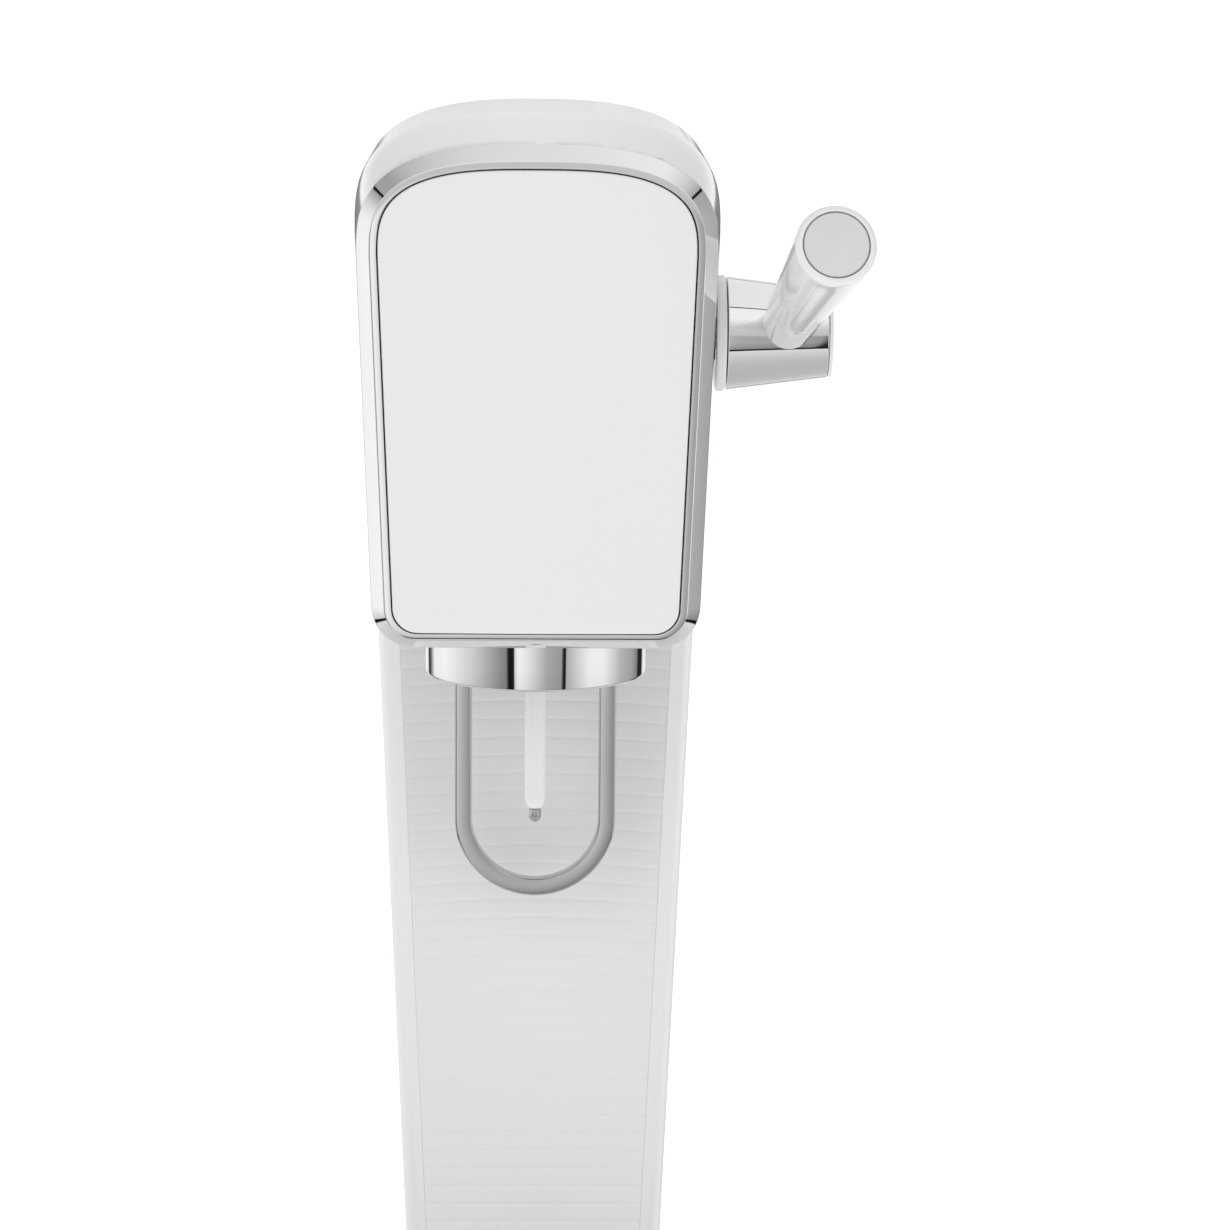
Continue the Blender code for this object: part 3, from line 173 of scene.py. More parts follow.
def cutWith(piece, shapes, how="DIFFERENCE"):
    for n, shape in enumerate(shapes):
        bmesh.ops.recalc_face_normals(shape, faces=shape.faces)
        mesh = bpy.data.meshes.new("cutter")
        shape.to_mesh(mesh)
        shape.free()
        cutter = bpy.data.objects.new("cutter", mesh)
        bpy.context.scene.collection.objects.link(cutter)
        step = piece.modifiers.new(f"cut{n}", "BOOLEAN")
        step.operation, step.solver, step.object = how, "EXACT", cutter
        applyAll(piece)
        bpy.data.objects.remove(cutter)


def applyAll(piece):
    graph = bpy.context.evaluated_depsgraph_get()
    made = bpy.data.meshes.new_from_object(piece.evaluated_get(graph))
    piece.modifiers.clear()
    old, piece.data = piece.data, made
    bpy.data.meshes.remove(old)


def softenEdges(piece, width, segments=2, angle=40):
    bevel = piece.modifiers.new("edges", "BEVEL")
    bevel.width, bevel.segments, bevel.limit_method = width, segments, "ANGLE"
    bevel.angle_limit = math.radians(angle)
    bevel.use_clamp_overlap = True
    applyAll(piece)
    piece.data.shade_smooth()
    piece.data.set_sharp_from_angle(angle=math.radians(50))
    weights = piece.modifiers.new("normals", "WEIGHTED_NORMAL")
    weights.keep_sharp = True


def placed(direction, at):
    turn = Vector(direction).to_track_quat("Z", "Y").to_matrix().to_4x4()
    return Matrix.Translation(at) @ turn


# Node groups shared by the materials

def newGroup(name, inputs, outputs):
    group = bpy.data.node_groups.new(name, "ShaderNodeTree")
    for label, kind, value in inputs:
        socket = group.interface.new_socket(label, in_out="INPUT", socket_type=kind)
        socket.default_value = value
    for label, kind in outputs:
        group.interface.new_socket(label, in_out="OUTPUT", socket_type=kind)
    return group, group.nodes.new("NodeGroupInput"), group.nodes.new("NodeGroupOutput")


def fineGrainGroup():
    group, inside, outside = newGroup(
        "fineGrain", [("Scale", "NodeSocketFloat", 900.0), ("Patch", "NodeSocketFloat", 18.0)],
        [("Height", "NodeSocketFloat"), ("Mask", "NodeSocketFloat")])
    nodes, links = group.nodes, group.links
    place = nodes.new("ShaderNodeTexCoord")
    fine = nodes.new("ShaderNodeTexNoise")
    fine.inputs["Detail"].default_value = 3.0
    coarse = nodes.new("ShaderNodeTexNoise")
    coarse.inputs["Detail"].default_value = 4.0
    links.new(place.outputs["Object"], fine.inputs["Vector"])
    links.new(place.outputs["Object"], coarse.inputs["Vector"])
    links.new(inside.outputs["Scale"], fine.inputs["Scale"])
    links.new(inside.outputs["Patch"], coarse.inputs["Scale"])
    links.new(fine.outputs["Fac"], outside.inputs["Height"])
    links.new(coarse.outputs["Fac"], outside.inputs["Mask"])
    return group


def brushedGroup():
    group, inside, outside = newGroup(
        "brushedLines", [("Along", "NodeSocketVector", (6.0, 400.0, 400.0))],
        [("Height", "NodeSocketFloat"), ("Mask", "NodeSocketFloat")])
    nodes, links = group.nodes, group.links
    place = nodes.new("ShaderNodeTexCoord")
    stretch = nodes.new("ShaderNodeVectorMath")
    stretch.operation = "MULTIPLY"
    lines = nodes.new("ShaderNodeTexNoise")
    lines.inputs["Scale"].default_value = 4.0
    lines.inputs["Detail"].default_value = 5.0
    links.new(place.outputs["Object"], stretch.inputs[0])
    links.new(inside.outputs["Along"], stretch.inputs[1])
    links.new(stretch.outputs["Vector"], lines.inputs["Vector"])
    links.new(lines.outputs["Fac"], outside.inputs["Height"])
    links.new(lines.outputs["Fac"], outside.inputs["Mask"])
    return group


def turnedGroup():
    group, inside, outside = newGroup("turnedLines", [("Rings", "NodeSocketFloat", 5200.0)],
                                      [("Height", "NodeSocketFloat"), ("Mask", "NodeSocketFloat")])
    nodes, links = group.nodes, group.links
    place = nodes.new("ShaderNodeTexCoord")
    split = nodes.new("ShaderNodeSeparateXYZ")
    flat = nodes.new("ShaderNodeCombineXYZ")
    length = nodes.new("ShaderNodeVectorMath")
    length.operation = "LENGTH"
    lines = nodes.new("ShaderNodeTexNoise")
    lines.noise_dimensions = "1D"
    lines.inputs["Detail"].default_value = 4.0
    links.new(place.outputs["Object"], split.inputs["Vector"])
    links.new(split.outputs["X"], flat.inputs["X"])
    links.new(split.outputs["Y"], flat.inputs["Y"])
    links.new(flat.outputs["Vector"], length.inputs[0])
    links.new(length.outputs["Value"], lines.inputs["W"])
    links.new(inside.outputs["Rings"], lines.inputs["Scale"])
    links.new(lines.outputs["Fac"], outside.inputs["Height"])
    links.new(lines.outputs["Fac"], outside.inputs["Mask"])
    return group


fineGrain, brushedLines, turnedLines = fineGrainGroup(), brushedGroup(), turnedGroup()


# Materials

finishes = {
    "gloss_white": dict(colour=(0.818, 0.820, 0.823), tint=(0.802, 0.805, 0.809), rough=(0.07, 0.10),
                        bump=0.001, scale=300, patch=6, coat=0.35),
    "satin_white": dict(colour=(0.800, 0.802, 0.806), tint=(0.786, 0.789, 0.794), rough=(0.34, 0.44),
                        bump=0.05, scale=2600, patch=12),
    "matt_white": dict(colour=(0.79, 0.79, 0.79), tint=(0.76, 0.76, 0.75), rough=(0.48, 0.62), bump=0.10,
                       scale=1500, patch=24),
    "chrome": dict(colour=(0.86, 0.865, 0.875), tint=(0.83, 0.835, 0.845), rough=(0.03, 0.06), metal=1.0,
                   bump=0.003, scale=300, patch=30),
    "brushed_silver": dict(colour=(0.78, 0.78, 0.785), tint=(0.73, 0.73, 0.735), rough=(0.24, 0.34),
                           metal=1.0, bump=0.012, group="turned", scale=5200),
    # The bottle loop's chrome is made darker than the chrome finish: painted shade that stands in for the darker
    # reflections the loop shows
    "loopChromePaintedShade": dict(colour=(0.57, 0.575, 0.58), tint=(0.54, 0.545, 0.55), rough=(0.10, 0.16), metal=1.0,
                      bump=0.006, scale=600, patch=30),
    "satin_steel": dict(colour=(0.62, 0.62, 0.615), tint=(0.52, 0.52, 0.52), rough=(0.22, 0.36),
                        metal=1.0, bump=0.06, group="brushed", along=(10, 420, 420)),
    "zinc_steel": dict(colour=(0.60, 0.61, 0.62), tint=(0.48, 0.50, 0.52), rough=(0.34, 0.52), metal=1.0,
                       bump=0.05, scale=260, patch=70),
    "brass": dict(colour=(0.74, 0.57, 0.29), tint=(0.62, 0.45, 0.22), rough=(0.22, 0.38), metal=1.0,
                  bump=0.04, group="turned", scale=2400),
    "bronze": dict(colour=(0.52, 0.36, 0.20), tint=(0.42, 0.28, 0.15), rough=(0.40, 0.58), metal=1.0,
                   bump=0.20, scale=2200, patch=160),
    "cylinder_blue": dict(colour=(0.055, 0.15, 0.36), tint=(0.045, 0.125, 0.31), rough=(0.22, 0.36),
                          bump=0.05, scale=700, patch=20, coat=0.3),
    "grey_nylon": dict(colour=(0.30, 0.31, 0.32), tint=(0.25, 0.26, 0.27), rough=(0.42, 0.58), bump=0.14,
                       scale=1800, patch=60),
    "black_rubber": dict(colour=(0.022, 0.022, 0.023), tint=(0.035, 0.035, 0.036), rough=(0.62, 0.82),
                         bump=0.25, scale=1600, patch=90),
    "grey_rubber": dict(colour=(0.22, 0.22, 0.23), tint=(0.17, 0.17, 0.18), rough=(0.58, 0.78), bump=0.22,
                        scale=1600, patch=80),
    "clear_white": dict(colour=(0.80, 0.805, 0.81), tint=(0.77, 0.775, 0.78), rough=(0.24, 0.34),
                        bump=0.01, scale=500, patch=20),
}


def makeFinish(name, colour, tint, rough, bump, scale=900, patch=20, metal=0.0, coat=0.0, group="grain",
               along=(6, 400, 400)):
    look = bpy.data.materials.new(name)
    look.use_nodes = True
    nodes, links = look.node_tree.nodes, look.node_tree.links
    shader = nodes["Principled BSDF"]
    shader.inputs["Metallic"].default_value = metal
    shader.inputs["Coat Weight"].default_value = coat
    shader.inputs["Coat Roughness"].default_value = 0.04
    texture = nodes.new("ShaderNodeGroup")
    texture.node_tree = {"grain": fineGrain, "brushed": brushedLines, "turned": turnedLines}[group]
    if group == "grain":
        texture.inputs["Scale"].default_value = scale
        texture.inputs["Patch"].default_value = patch
    elif group == "brushed":
        texture.inputs["Along"].default_value = along
    else:
        texture.inputs["Rings"].default_value = scale
    shade = nodes.new("ShaderNodeMix")
    shade.data_type = "RGBA"
    shade.inputs["A"].default_value = (*colour, 1)
    shade.inputs["B"].default_value = (*tint, 1)
    links.new(texture.outputs["Mask"], shade.inputs["Factor"])
    links.new(shade.outputs["Result"], shader.inputs["Base Color"])
    spread = nodes.new("ShaderNodeMapRange")
    spread.inputs["From Min"].default_value = 0.3
    spread.inputs["From Max"].default_value = 0.7
    spread.inputs["To Min"].default_value, spread.inputs["To Max"].default_value = rough
    links.new(texture.outputs["Mask"], spread.inputs["Value"])
    links.new(spread.outputs["Result"], shader.inputs["Roughness"])
    relief = nodes.new("ShaderNodeBump")
    relief.inputs["Strength"].default_value = bump
    relief.inputs["Distance"].default_value = 0.0004
    links.new(texture.outputs["Height"], relief.inputs["Height"])
    links.new(relief.outputs["Normal"], shader.inputs["Normal"])
    return look


looks = {name: makeFinish(name, **values) for name, values in finishes.items()}
print("materials made:", len(looks))

# Every CAD node: its finish, and smooth shading across its facets

for row in frame["record"]["subparts"]:
    node = frame["nodes"][row["node"]]
    node.data.materials.clear()
    node.data.materials.append(looks[row["material_slot"]])
    node.data.shade_smooth()
    join = node.modifiers.new("join", "WELD")
    join.merge_threshold = 0.00001
    split = node.modifiers.new("split", "EDGE_SPLIT")
    split.split_angle = math.radians(33)

# Outline of the casing, shared by the shell, the cover, the bezel and the panel

casing = {
    "headBottom": 283.6 * mm,
    "headTop": 434.0 * mm,
    "frontDrop": 3.0 * mm,
    "frontHalf": 52.4 * mm,
    "rearHalf": 55.8 * mm,
    "frontTaper": 0.0393,
    "rearTaper": 0.0420,
    "frontRound": 2.78,
    "rearRound": 2.58,
    "roundGain": 35.0,
    "shoulderDrop": 31.5 * mm,
    "rearShoulder": 28.0 * mm,
    "corner": 12.9 * mm,
    "wall": 2.5 * mm,
    "front": shellLow.y,
    "bulgeAt": 96.0 * mm,  # behind the front edge
    "seam": shellHigh.y,
    "back": coverHigh.y,
    "columnFront": 46.0 * mm + axisY,
    "gap": 0.3 * mm,
}
shoulderZ = casing["headTop"] - casing["frontDrop"] - casing["shoulderDrop"]
rearShoulderZ = casing["headTop"] - casing["rearShoulder"]


def casingOutline(share, inset=0.0, bottom=casing["headBottom"], corner=casing["corner"], lowShare=1.0,
                  topShare=1.0, steps=40):
    c = casing
    top = c["headTop"] - c["frontDrop"] * (1 - share) - inset * topShare
    half = mix(c["frontHalf"], halfWidth(rearShoulderZ), share)
    shoulder = mix(shoulderZ, rearShoulderZ, share)
    taper = mix(c["frontTaper"], c["rearTaper"], share)
    power = 2 / (mix(c["frontRound"], c["rearRound"], share) + c["roundGain"] * inset)
    across, up = half - inset, top - shoulder
    right = [(0, top)]
    for i in range(1, steps + 1):
        turn = math.radians(90 * (1 - i / steps) ** 1.25)
        right.append((across * math.cos(turn) ** power, shoulder + up * math.sin(turn) ** power))
    radius = max(corner - inset * lowShare, 0.5 * mm)
    centreZ = bottom + inset * lowShare + radius
    for i in range(1, 6):
        z = mix(shoulder, centreZ, i / 6)
        right.append((half - inset - taper * (shoulder - z), z))
    side = half - inset - taper * (shoulder - centreZ)
    right += arc((side - radius, centreZ), radius, 0, -90, 12)
    right += [((side - radius) * (1 - i / 5), centreZ - radius) for i in range(1, 6)]
    return right + [(-x, z) for x, z in right[-2:0:-1]]


def casingRing(y, inset=0.0, share=None, **more):
    if share is None:
        t = min(max((y - casing["front"]) / casing["bulgeAt"], 0.0), 1.0)
        share = math.sin(t * math.pi / 2)
    return [(axisX + x, y, z) for x, z in casingOutline(share, inset, **more)]


def halfWidth(z):
    return casing["rearHalf"] - casing["rearTaper"] * (shoulderZ - z)


def plate(x0, x1, y0, y1, z0, z1):
    return loft([[(x0, y0, z), (x1, y0, z), (x1, y1, z), (x0, y1, z)] for z in (z0, z1)])


# Casing of the head and column

shell = {
    "foot": shellLow.z,
    "above": casing["headBottom"] + casing["corner"] + 4 * mm,
    "columnCorner": 3.0 * mm,
    "border": 6.7 * mm,
    "edge": 0.45 * mm,
    "stations": (0.0, 0.08, 0.2, 0.35, 0.5, 0.65, 0.8, 0.9, 1.0),
}


def columnRing(z, inset, front, back, corner):
    half = halfWidth(z) - inset
    bend = arc((half - corner, front + corner), corner, -90, 0, 8)
    pairs = bend + [(half, back), (-half, back)] + [(-x, y) for x, y in reversed(bend)]
    return [(axisX + x, y, z) for x, y in pairs]


def undersideOpening():
    radius, forward = (collarHigh.x - collarLow.x) / 2 + 1.5 * mm, 7 * mm
    loopLow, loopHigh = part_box("rear_loop")
    rearHalf = (loopHigh.x - loopLow.x) / 2 + 2 * mm
    back = loopHigh.y - axisY + 1.5 * mm
    meet = math.degrees(math.acos(rearHalf / radius))
    right = arc((0, 0), radius, 0, meet, 8)
    pairs = arc((0, -forward), radius, -180, 0, 48) + right
    pairs += [(rearHalf, back), (-rearHalf, back)] + [(-x, y) for x, y in reversed(right)]
    return [(axisX + x, axisY + y) for x, y in pairs]


def makeShell():
    c, s = casing, shell
    ends = [c["front"] + c["bulgeAt"] * t for t in s["stations"]] + [c["seam"] + 2 * mm]
    piece = addPiece("casing", loft([casingRing(y) for y in ends]), looks["gloss_white"], "main",
                     ["body_shell"])
    skin = 0.02 * mm
    outer = loft([columnRing(z, skin, c["columnFront"], c["seam"] + 3 * mm, s["columnCorner"])
                  for z in (s["foot"], s["above"])])
    cutWith(piece, [outer], "UNION")
    wide = c["rearHalf"] + 10 * mm
    inner = loft([casingRing(y, c["wall"])
                  for y in [c["front"] - 5 * mm] + ends[1:-1] + [c["seam"] + 5 * mm]])
    column = loft([columnRing(z, c["wall"] + skin, c["columnFront"] + c["wall"], c["seam"] + 6 * mm,
                              1 * mm)
                   for z in (s["foot"] - 5 * mm, s["above"] + 1 * mm)])
    back = plate(axisX - wide, axisX + wide, c["seam"], c["seam"] + 20 * mm, -10 * mm,
                 c["headTop"] + 20 * mm)
    low, high = s["foot"] + 4 * mm, c["headBottom"] - c["gap"]
    corners = [(halfWidth(z) - s["border"], z) for z in (low, high)]
    corners += [(-x, z) for x, z in reversed(corners)]
    window = loft([[(axisX + x, y, z) for x, z in corners]
                   for y in (c["columnFront"] - 5 * mm, c["columnFront"] + c["wall"] + 2 * mm)])
    opening = loft([[(x, y, z) for x, y in undersideOpening()]
                    for z in (c["headBottom"] - 5 * mm, c["headBottom"] + 8 * mm)])
    shaft = lathe([(0, 0), (8 * mm, 0), (8 * mm, 30 * mm), (0, 30 * mm)], 48)
    bmesh.ops.transform(shaft, matrix=placed((1, 0, 0), leverAt + Vector((40 * mm, 0, 0))),
                        verts=shaft.verts)
    cutWith(piece, [inner, column, back, opening, shaft])
    softenEdges(piece, s["edge"])
    cutWith(piece, [window])
    return piece


makeShell()
print("casing made")

# Rear cover

cover = {"lip": 4 * mm, "edge": 0.45 * mm, "sag": (0, 0.2, 0.7, 1.6, 2.8, 4.6, 6.8, 9.0),
         "at": (0.02, 0.40, 0.58, 0.72, 0.82, 0.90, 0.96, 1.0)}


def makeCover():
    c = casing
    tall = dict(bottom=coverLow.z, corner=2 * mm, share=1)
    openFoot = dict(bottom=coverLow.z - 20 * mm, corner=2 * mm, share=1)
    depth = c["back"] - c["seam"]
    rings = [casingRing(c["seam"] + c["gap"], 0, **tall)]
    rings += [casingRing(c["seam"] + depth * t, s * mm, **tall)
              for t, s in zip(cover["at"][1:], cover["sag"][1:])]
    piece = addPiece("coverBack", loft(rings), looks["gloss_white"], "rear_cover_body", ["rear_cover"])
    lip = [casingRing(y, c["wall"] + 0.4 * mm, **tall)
           for y in (c["seam"] - cover["lip"], c["seam"] + 1 * mm)]
    cutWith(piece, [loft(lip)], "UNION")
    inner = [casingRing(c["seam"] + 2 * mm, c["wall"], **openFoot)]
    inner += [casingRing(min(c["seam"] + depth * t, c["back"] - c["wall"]), c["wall"] + s * 0.66 * mm,
                         **openFoot)
              for t, s in zip(cover["at"][1:6], cover["sag"][1:6])]
    mouth = [casingRing(y, c["wall"] + 2 * mm, **openFoot)
             for y in (c["seam"] - 6 * mm, c["seam"] + 2.5 * mm)]
    cutWith(piece, [loft(inner), loft(mouth)])
    softenEdges(piece, cover["edge"])
    return piece


makeCover()
print("rear cover made")

# Bezel and front panel

bezel = {"back": 4.0 * mm, "rim": 1.1 * mm, "bevelWide": 4.0 * mm, "lipWide": 2.1 * mm,
         "lipSlope": 0.22 * mm, "lowShare": 0.85, "topShare": 1.08, "round": 0.3 * mm,
         "rimRound": 0.5 * mm}
panel = {"gap": 0.4 * mm, "bulge": 1.2 * mm, "thick": 4.0 * mm, "edge": 0.5 * mm, "rings": 22}
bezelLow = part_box("front_bezel")[0]


def makeBezel():
    c, b = casing, bezel
    face = bezelLow.y
    total = b["bevelWide"] + b["lipWide"]
    outline = [(0, c["front"] - c["gap"]), (0, c["front"] - c["gap"] - b["rim"]),
               (b["bevelWide"], face + b["lipSlope"]), (total, face), (total, c["front"] + b["back"]),
               (c["wall"] + 0.5 * mm, c["front"] + b["back"]),
               (c["wall"] + 0.5 * mm, c["front"] - c["gap"])]
    corners = [b["round"], b["rimRound"]] + [b["round"]] * 5
    section = rounded(outline, corners, 4)
    rings = []
    for inset, y in section:
        deep = y > c["front"] - c["gap"] - 0.05 * mm and inset < total - 1 * mm and inset > 0.8 * mm
        low, top = (1.0, 1.0) if deep else (b["lowShare"], b["topShare"])
        rings.append(casingRing(y, inset, share=0, lowShare=low, topShare=top))
    return addPiece("bezelFrame", loft(rings, loop=True), looks["chrome"], "main", ["front_bezel"],
                    sharp=24)


def makePanel():
    b, p = bezel, panel
    edge = b["bevelWide"] + b["lipWide"] + p["gap"]
    face = bezelLow.y + 0.4 * mm
    outline = casingOutline(0, edge, lowShare=b["lowShare"], topShare=b["topShare"])
    middleZ = (max(z for _, z in outline) + min(z for _, z in outline)) / 2

    def frontAt(x):
        return face - p["bulge"] * (1 - (x / casing["frontHalf"]) ** 2)

    def ring(scale, back=None, drop=0.0):
        points = [(x * scale, middleZ + (z - middleZ) * scale) for x, z in outline]
        return [(axisX + x, back if back is not None else frontAt(x) + drop, z) for x, z in points]

    rings = [ring(1, face + p["thick"]), ring(1, None, p["edge"])]
    half = casing["frontHalf"] - edge
    for n in range(1, 5):
        t = math.radians(90 * n / 4)
        rings.append(ring(1 - p["edge"] * (1 - math.cos(t)) / half, None, p["edge"] * (1 - math.sin(t))))
    start = 1 - p["edge"] / half
    rings += [ring(start * (1 - (n / p["rings"]) ** 0.8 * 0.985)) for n in range(1, p["rings"])]
    shape = loft(rings)
    return addPiece("frontPanel", shape, looks["satin_white"], "main", ["front_panel"])


makeBezel()
makePanel()
print("bezel and panel made")

# Ribbed column front

ribs = {"pitch": 6.0 * mm, "first": 239.0 * mm, "deep": 0.16 * mm, "half": 0.7 * mm, "side": 0.05 * mm,
        "hollow": 8.0 * mm, "hollowLow": 50.0 * mm, "hollowHigh": 205.0 * mm, "across": 48}


def makeColumnFront():
    r = ribs
    low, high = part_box("column_front")
    top, bottom = high.z, low.z
    count = int((r["first"] - bottom - 3 * mm) / r["pitch"])
    levels = [(bottom, 0)]
    z = r["first"] - count * r["pitch"]
    while z < top - 2 * mm:
        levels += [(z + r["half"] * k, r["deep"] * (1 - k * k) ** 2)
                   for k in (-1, -0.6, -0.3, 0, 0.3, 0.6, 1)]
        levels += [(z + r["half"] + (r["pitch"] - 2 * r["half"]) * k, 0) for k in (0.33, 0.67)]
        z += r["pitch"]
    levels = [level for level in levels if level[0] < top - 0.5 * mm] + [(top, 0)]
    rings = []
    for z, groove in levels:
        half = halfWidth(z) - shell["border"] - r["side"]
        t = min(max((z - r["hollowLow"]) / (r["hollowHigh"] - r["hollowLow"]), 0.0), 1.0)
        hollow = r["hollow"] * t * t * (3 - 2 * t)
        row = [half * (2 * i / r["across"] - 1) for i in range(r["across"] + 1)]
        front = [(axisX + x, casing["columnFront"] + hollow * (1 - (x / half) ** 2) + groove, z)
                 for x in row]
        back = [(axisX + x, casing["columnFront"] + hollow * (1 - (x / half) ** 2) + casing["wall"], z)
                for x in reversed(row)]
        rings.append(front + back)
    return addPiece("ribbedFront", loft(rings), looks["satin_white"], "main", ["column_front"],
                    sharp=50)


makeColumnFront()
print("column front made")

# Lever

lever = {"hubRoot": 17.6 * mm, "hubTip": 13.4 * mm, "gripUp": 19.8, "gripOut": 4.3, "seam": 40.0 * mm,
         "gripLength": 112.0 * mm, "near": 11.7 * mm, "root": 7.8 * mm, "disc": 9.6 * mm,
         "ring": 18.0 * mm, "cap": 1.3 * mm}


def gripDirection():
    up, out = math.radians(lever["gripUp"]), math.radians(lever["gripOut"])
    return Vector((math.sin(out), -math.cos(up) * math.cos(out),
                   math.sin(up) * math.cos(out))).normalized()


def makeLever():
    v = lever
    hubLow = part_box("lever_hub")[0]
    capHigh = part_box("hub_end_cap")[1]
    ringLow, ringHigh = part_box("escutcheon_ring")
    onAxis = placed((1, 0, 0), Vector((0, leverAt.y, leverAt.z)))
    start, end = hubLow.x, capHigh.x
    slope = (v["hubRoot"] - v["hubTip"]) / (end - start)
    coneEnd, wide = end - v["cap"], v["hubTip"] + v["cap"] * slope
    profile = rounded([(0, start), (v["hubRoot"], start), (wide, coneEnd), (0, coneEnd)], 0.45 * mm, 4)
    addPiece("hubCone", lathe(profile), looks["chrome"], "lever", ["lever_hub"], 26, onAxis)
    profile = rounded([(0, coneEnd + 0.1 * mm), (wide - 0.15 * mm, coneEnd + 0.1 * mm),
                       (v["hubTip"], end - 0.05 * mm), (0, end)], 0.35 * mm, 4)
    addPiece("hubCap", lathe(profile), looks["gloss_white"], "lever", ["hub_end_cap"], 32,
             onAxis)
    inset = ringLow.x + 1.2 * mm
    profile = rounded([(8 * mm, inset), (v["ring"], inset), (v["ring"], ringHigh.x),
                       (8 * mm, ringHigh.x)], 1.1 * mm, 6)
    addPiece("leverRing", lathe(profile, hollow=True), looks["gloss_white"], "main", ["escutcheon_ring"],
             32, onAxis)

    away = gripDirection()
    gripX = leverAt.x + 76.2 * mm
    onGrip = placed(away, Vector((gripX, leverAt.y, leverAt.z)))
    near, root, length = v["near"], v["root"], v["gripLength"]
    swell = (near - root) / (length - 9 * mm)

    def radiusAt(t):
        return root + swell * (t - 9 * mm)

    seam = v["seam"]
    profile = [(0, 9 * mm), (root, 9 * mm)] + [(radiusAt(t * mm), t * mm) for t in (13, 17, 22, 28, 34)]
    profile += [(radiusAt(seam) - 0.02 * mm, seam - 0.3 * mm), (radiusAt(seam) - 0.3 * mm, seam),
                (0, seam)]
    addPiece("gripRoot", lathe(profile), looks["gloss_white"], "lever", ["grip_ferrule"],
             40, onGrip)
    first = seam + 0.1 * mm
    profile = [(0, first), (radiusAt(first) - 0.3 * mm, first),
               (radiusAt(first) - 0.02 * mm, first + 0.3 * mm)]
    profile += [(radiusAt(mix(first, length, t)), mix(first, length, t))
                for t in (0.1, 0.3, 0.5, 0.7, 0.85, 0.95)]
    lip = v["disc"] + 0.15 * mm
    bend = near - lip - 0.25 * mm
    profile += arc((near - bend, length - bend), bend, 5, 90, 10)
    profile += [(lip + 0.05 * mm, length - 0.02 * mm), (lip, length - 0.15 * mm),
                (lip, length - 1.6 * mm), (0, length - 1.6 * mm)]
    addPiece("gripBody", lathe(profile), looks["gloss_white"], "lever", ["lever_grip"], 40,
             onGrip)
    face = v["disc"] - 0.15 * mm
    profile = [(0, -1.4 * mm), (face, -1.4 * mm), (face, -0.35 * mm), (face - 0.25 * mm, -0.1 * mm),
               (face * 0.6, -0.16 * mm), (face * 0.3, -0.22 * mm), (0, -0.24 * mm)]
    onDisc = placed(away, Vector((gripX, leverAt.y, leverAt.z)) + away * length)
    addPiece("gripDisc", lathe(profile, 128), looks["brushed_silver"], "lever", ["grip_end_disc"],
             30, onDisc)


makeLever()
print("lever made")

# Collar, nozzle and loop of the bottle lock

lock = {"collarRadius": 34.0 * mm, "collarInner": 28.0 * mm, "nozzle": 3.3 * mm, "shoulder": 57.6 * mm,
        "loopHalf": 22.9 * mm, "loopWide": 5.4 * mm, "loopDeep": 5.0 * mm}


def makeLock():
    k = lock
    atAxis = Matrix.Translation((axisX, axisY, 0))
    low, high = collarLow.z, collarHigh.z
    outer, inner = k["collarRadius"], k["collarInner"]
    profile = rounded([(inner, low), (outer, low), (outer, high), (inner, high)], 0.9 * mm, 6)
    addPiece("collarRing", lathe(profile, 160, hollow=True), looks["chrome"], "bottle_lock",
             ["lock_collar"], 24, atAxis)
    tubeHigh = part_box("nozzle_tube")[1]
    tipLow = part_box("nozzle_tip")[0]
    r, shoulder, end = k["nozzle"], casing["headBottom"] - k["shoulder"], tipLow.z
    profile = [(0, tubeHigh.z), (r, tubeHigh.z), (r, shoulder + 0.6 * mm),
               (r * 0.985, shoulder - 0.2 * mm), (r * 0.94, shoulder - 1.1 * mm),
               (r * 0.86, shoulder - 2.0 * mm), (r * 0.74, shoulder - 2.8 * mm),
               (r * 0.60, end + 4.55 * mm), (r * 0.52, end + 4.4 * mm), (0, end + 4.4 * mm)]
    addPiece("nozzleTube", lathe(profile, 48), looks["clear_white"], "bottle_lock", ["nozzle_tube"],
             40, atAxis)
    profile = [(0, end + 4.1 * mm), (1.75 * mm, end + 4.1 * mm), (1.85 * mm, end + 3.9 * mm),
               (1.9 * mm, end + 2.3 * mm), (1.85 * mm, end + 1.5 * mm), (1.5 * mm, end + 0.7 * mm),
               (0.9 * mm, end + 0.15 * mm), (0.35 * mm, end), (0.3 * mm, end + 0.9 * mm),
               (0, end + 0.9 * mm)]
    addPiece("nozzleTip", lathe(profile, 40), looks["satin_steel"], "bottle_lock", ["nozzle_tip"],
             30, atAxis)
    loopLow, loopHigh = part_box("rear_loop")
    half, deep, bend = k["loopWide"] / 2, k["loopDeep"] / 2, 0.7 * mm
    corners = [(half, deep), (-half, deep), (-half, -deep), (half, -deep)]
    section = []
    for n, (x, y) in enumerate(corners):
        centre = (x - math.copysign(bend, x), y - math.copysign(bend, y))
        section += arc(centre, bend, 90 * n, 90 * n + 90, 4)
    centreZ = loopLow.z + half + k["loopHalf"]
    middleX, middleY = (loopLow.x + loopHigh.x) / 2, (loopLow.y + loopHigh.y) / 2
    straight = [loopHigh.z - (loopHigh.z - centreZ) * t for t in (0, 0.25, 0.5, 0.75)]
    path = [(-k["loopHalf"], z) for z in straight] + arc((0, centreZ), k["loopHalf"], 180, 360, 72)
    path += [(k["loopHalf"], z) for z in reversed(straight)]
    shape = sweep([(middleX + x, middleY, z) for x, z in path], section, Vector((1, 0, 0)))
    # The loop gets the darkened chrome, with the shade of its reflections painted into its colour
    addPiece("bottleLoop", shape, looks["loopChromePaintedShade"], "bottle_lock", ["rear_loop"], 24)


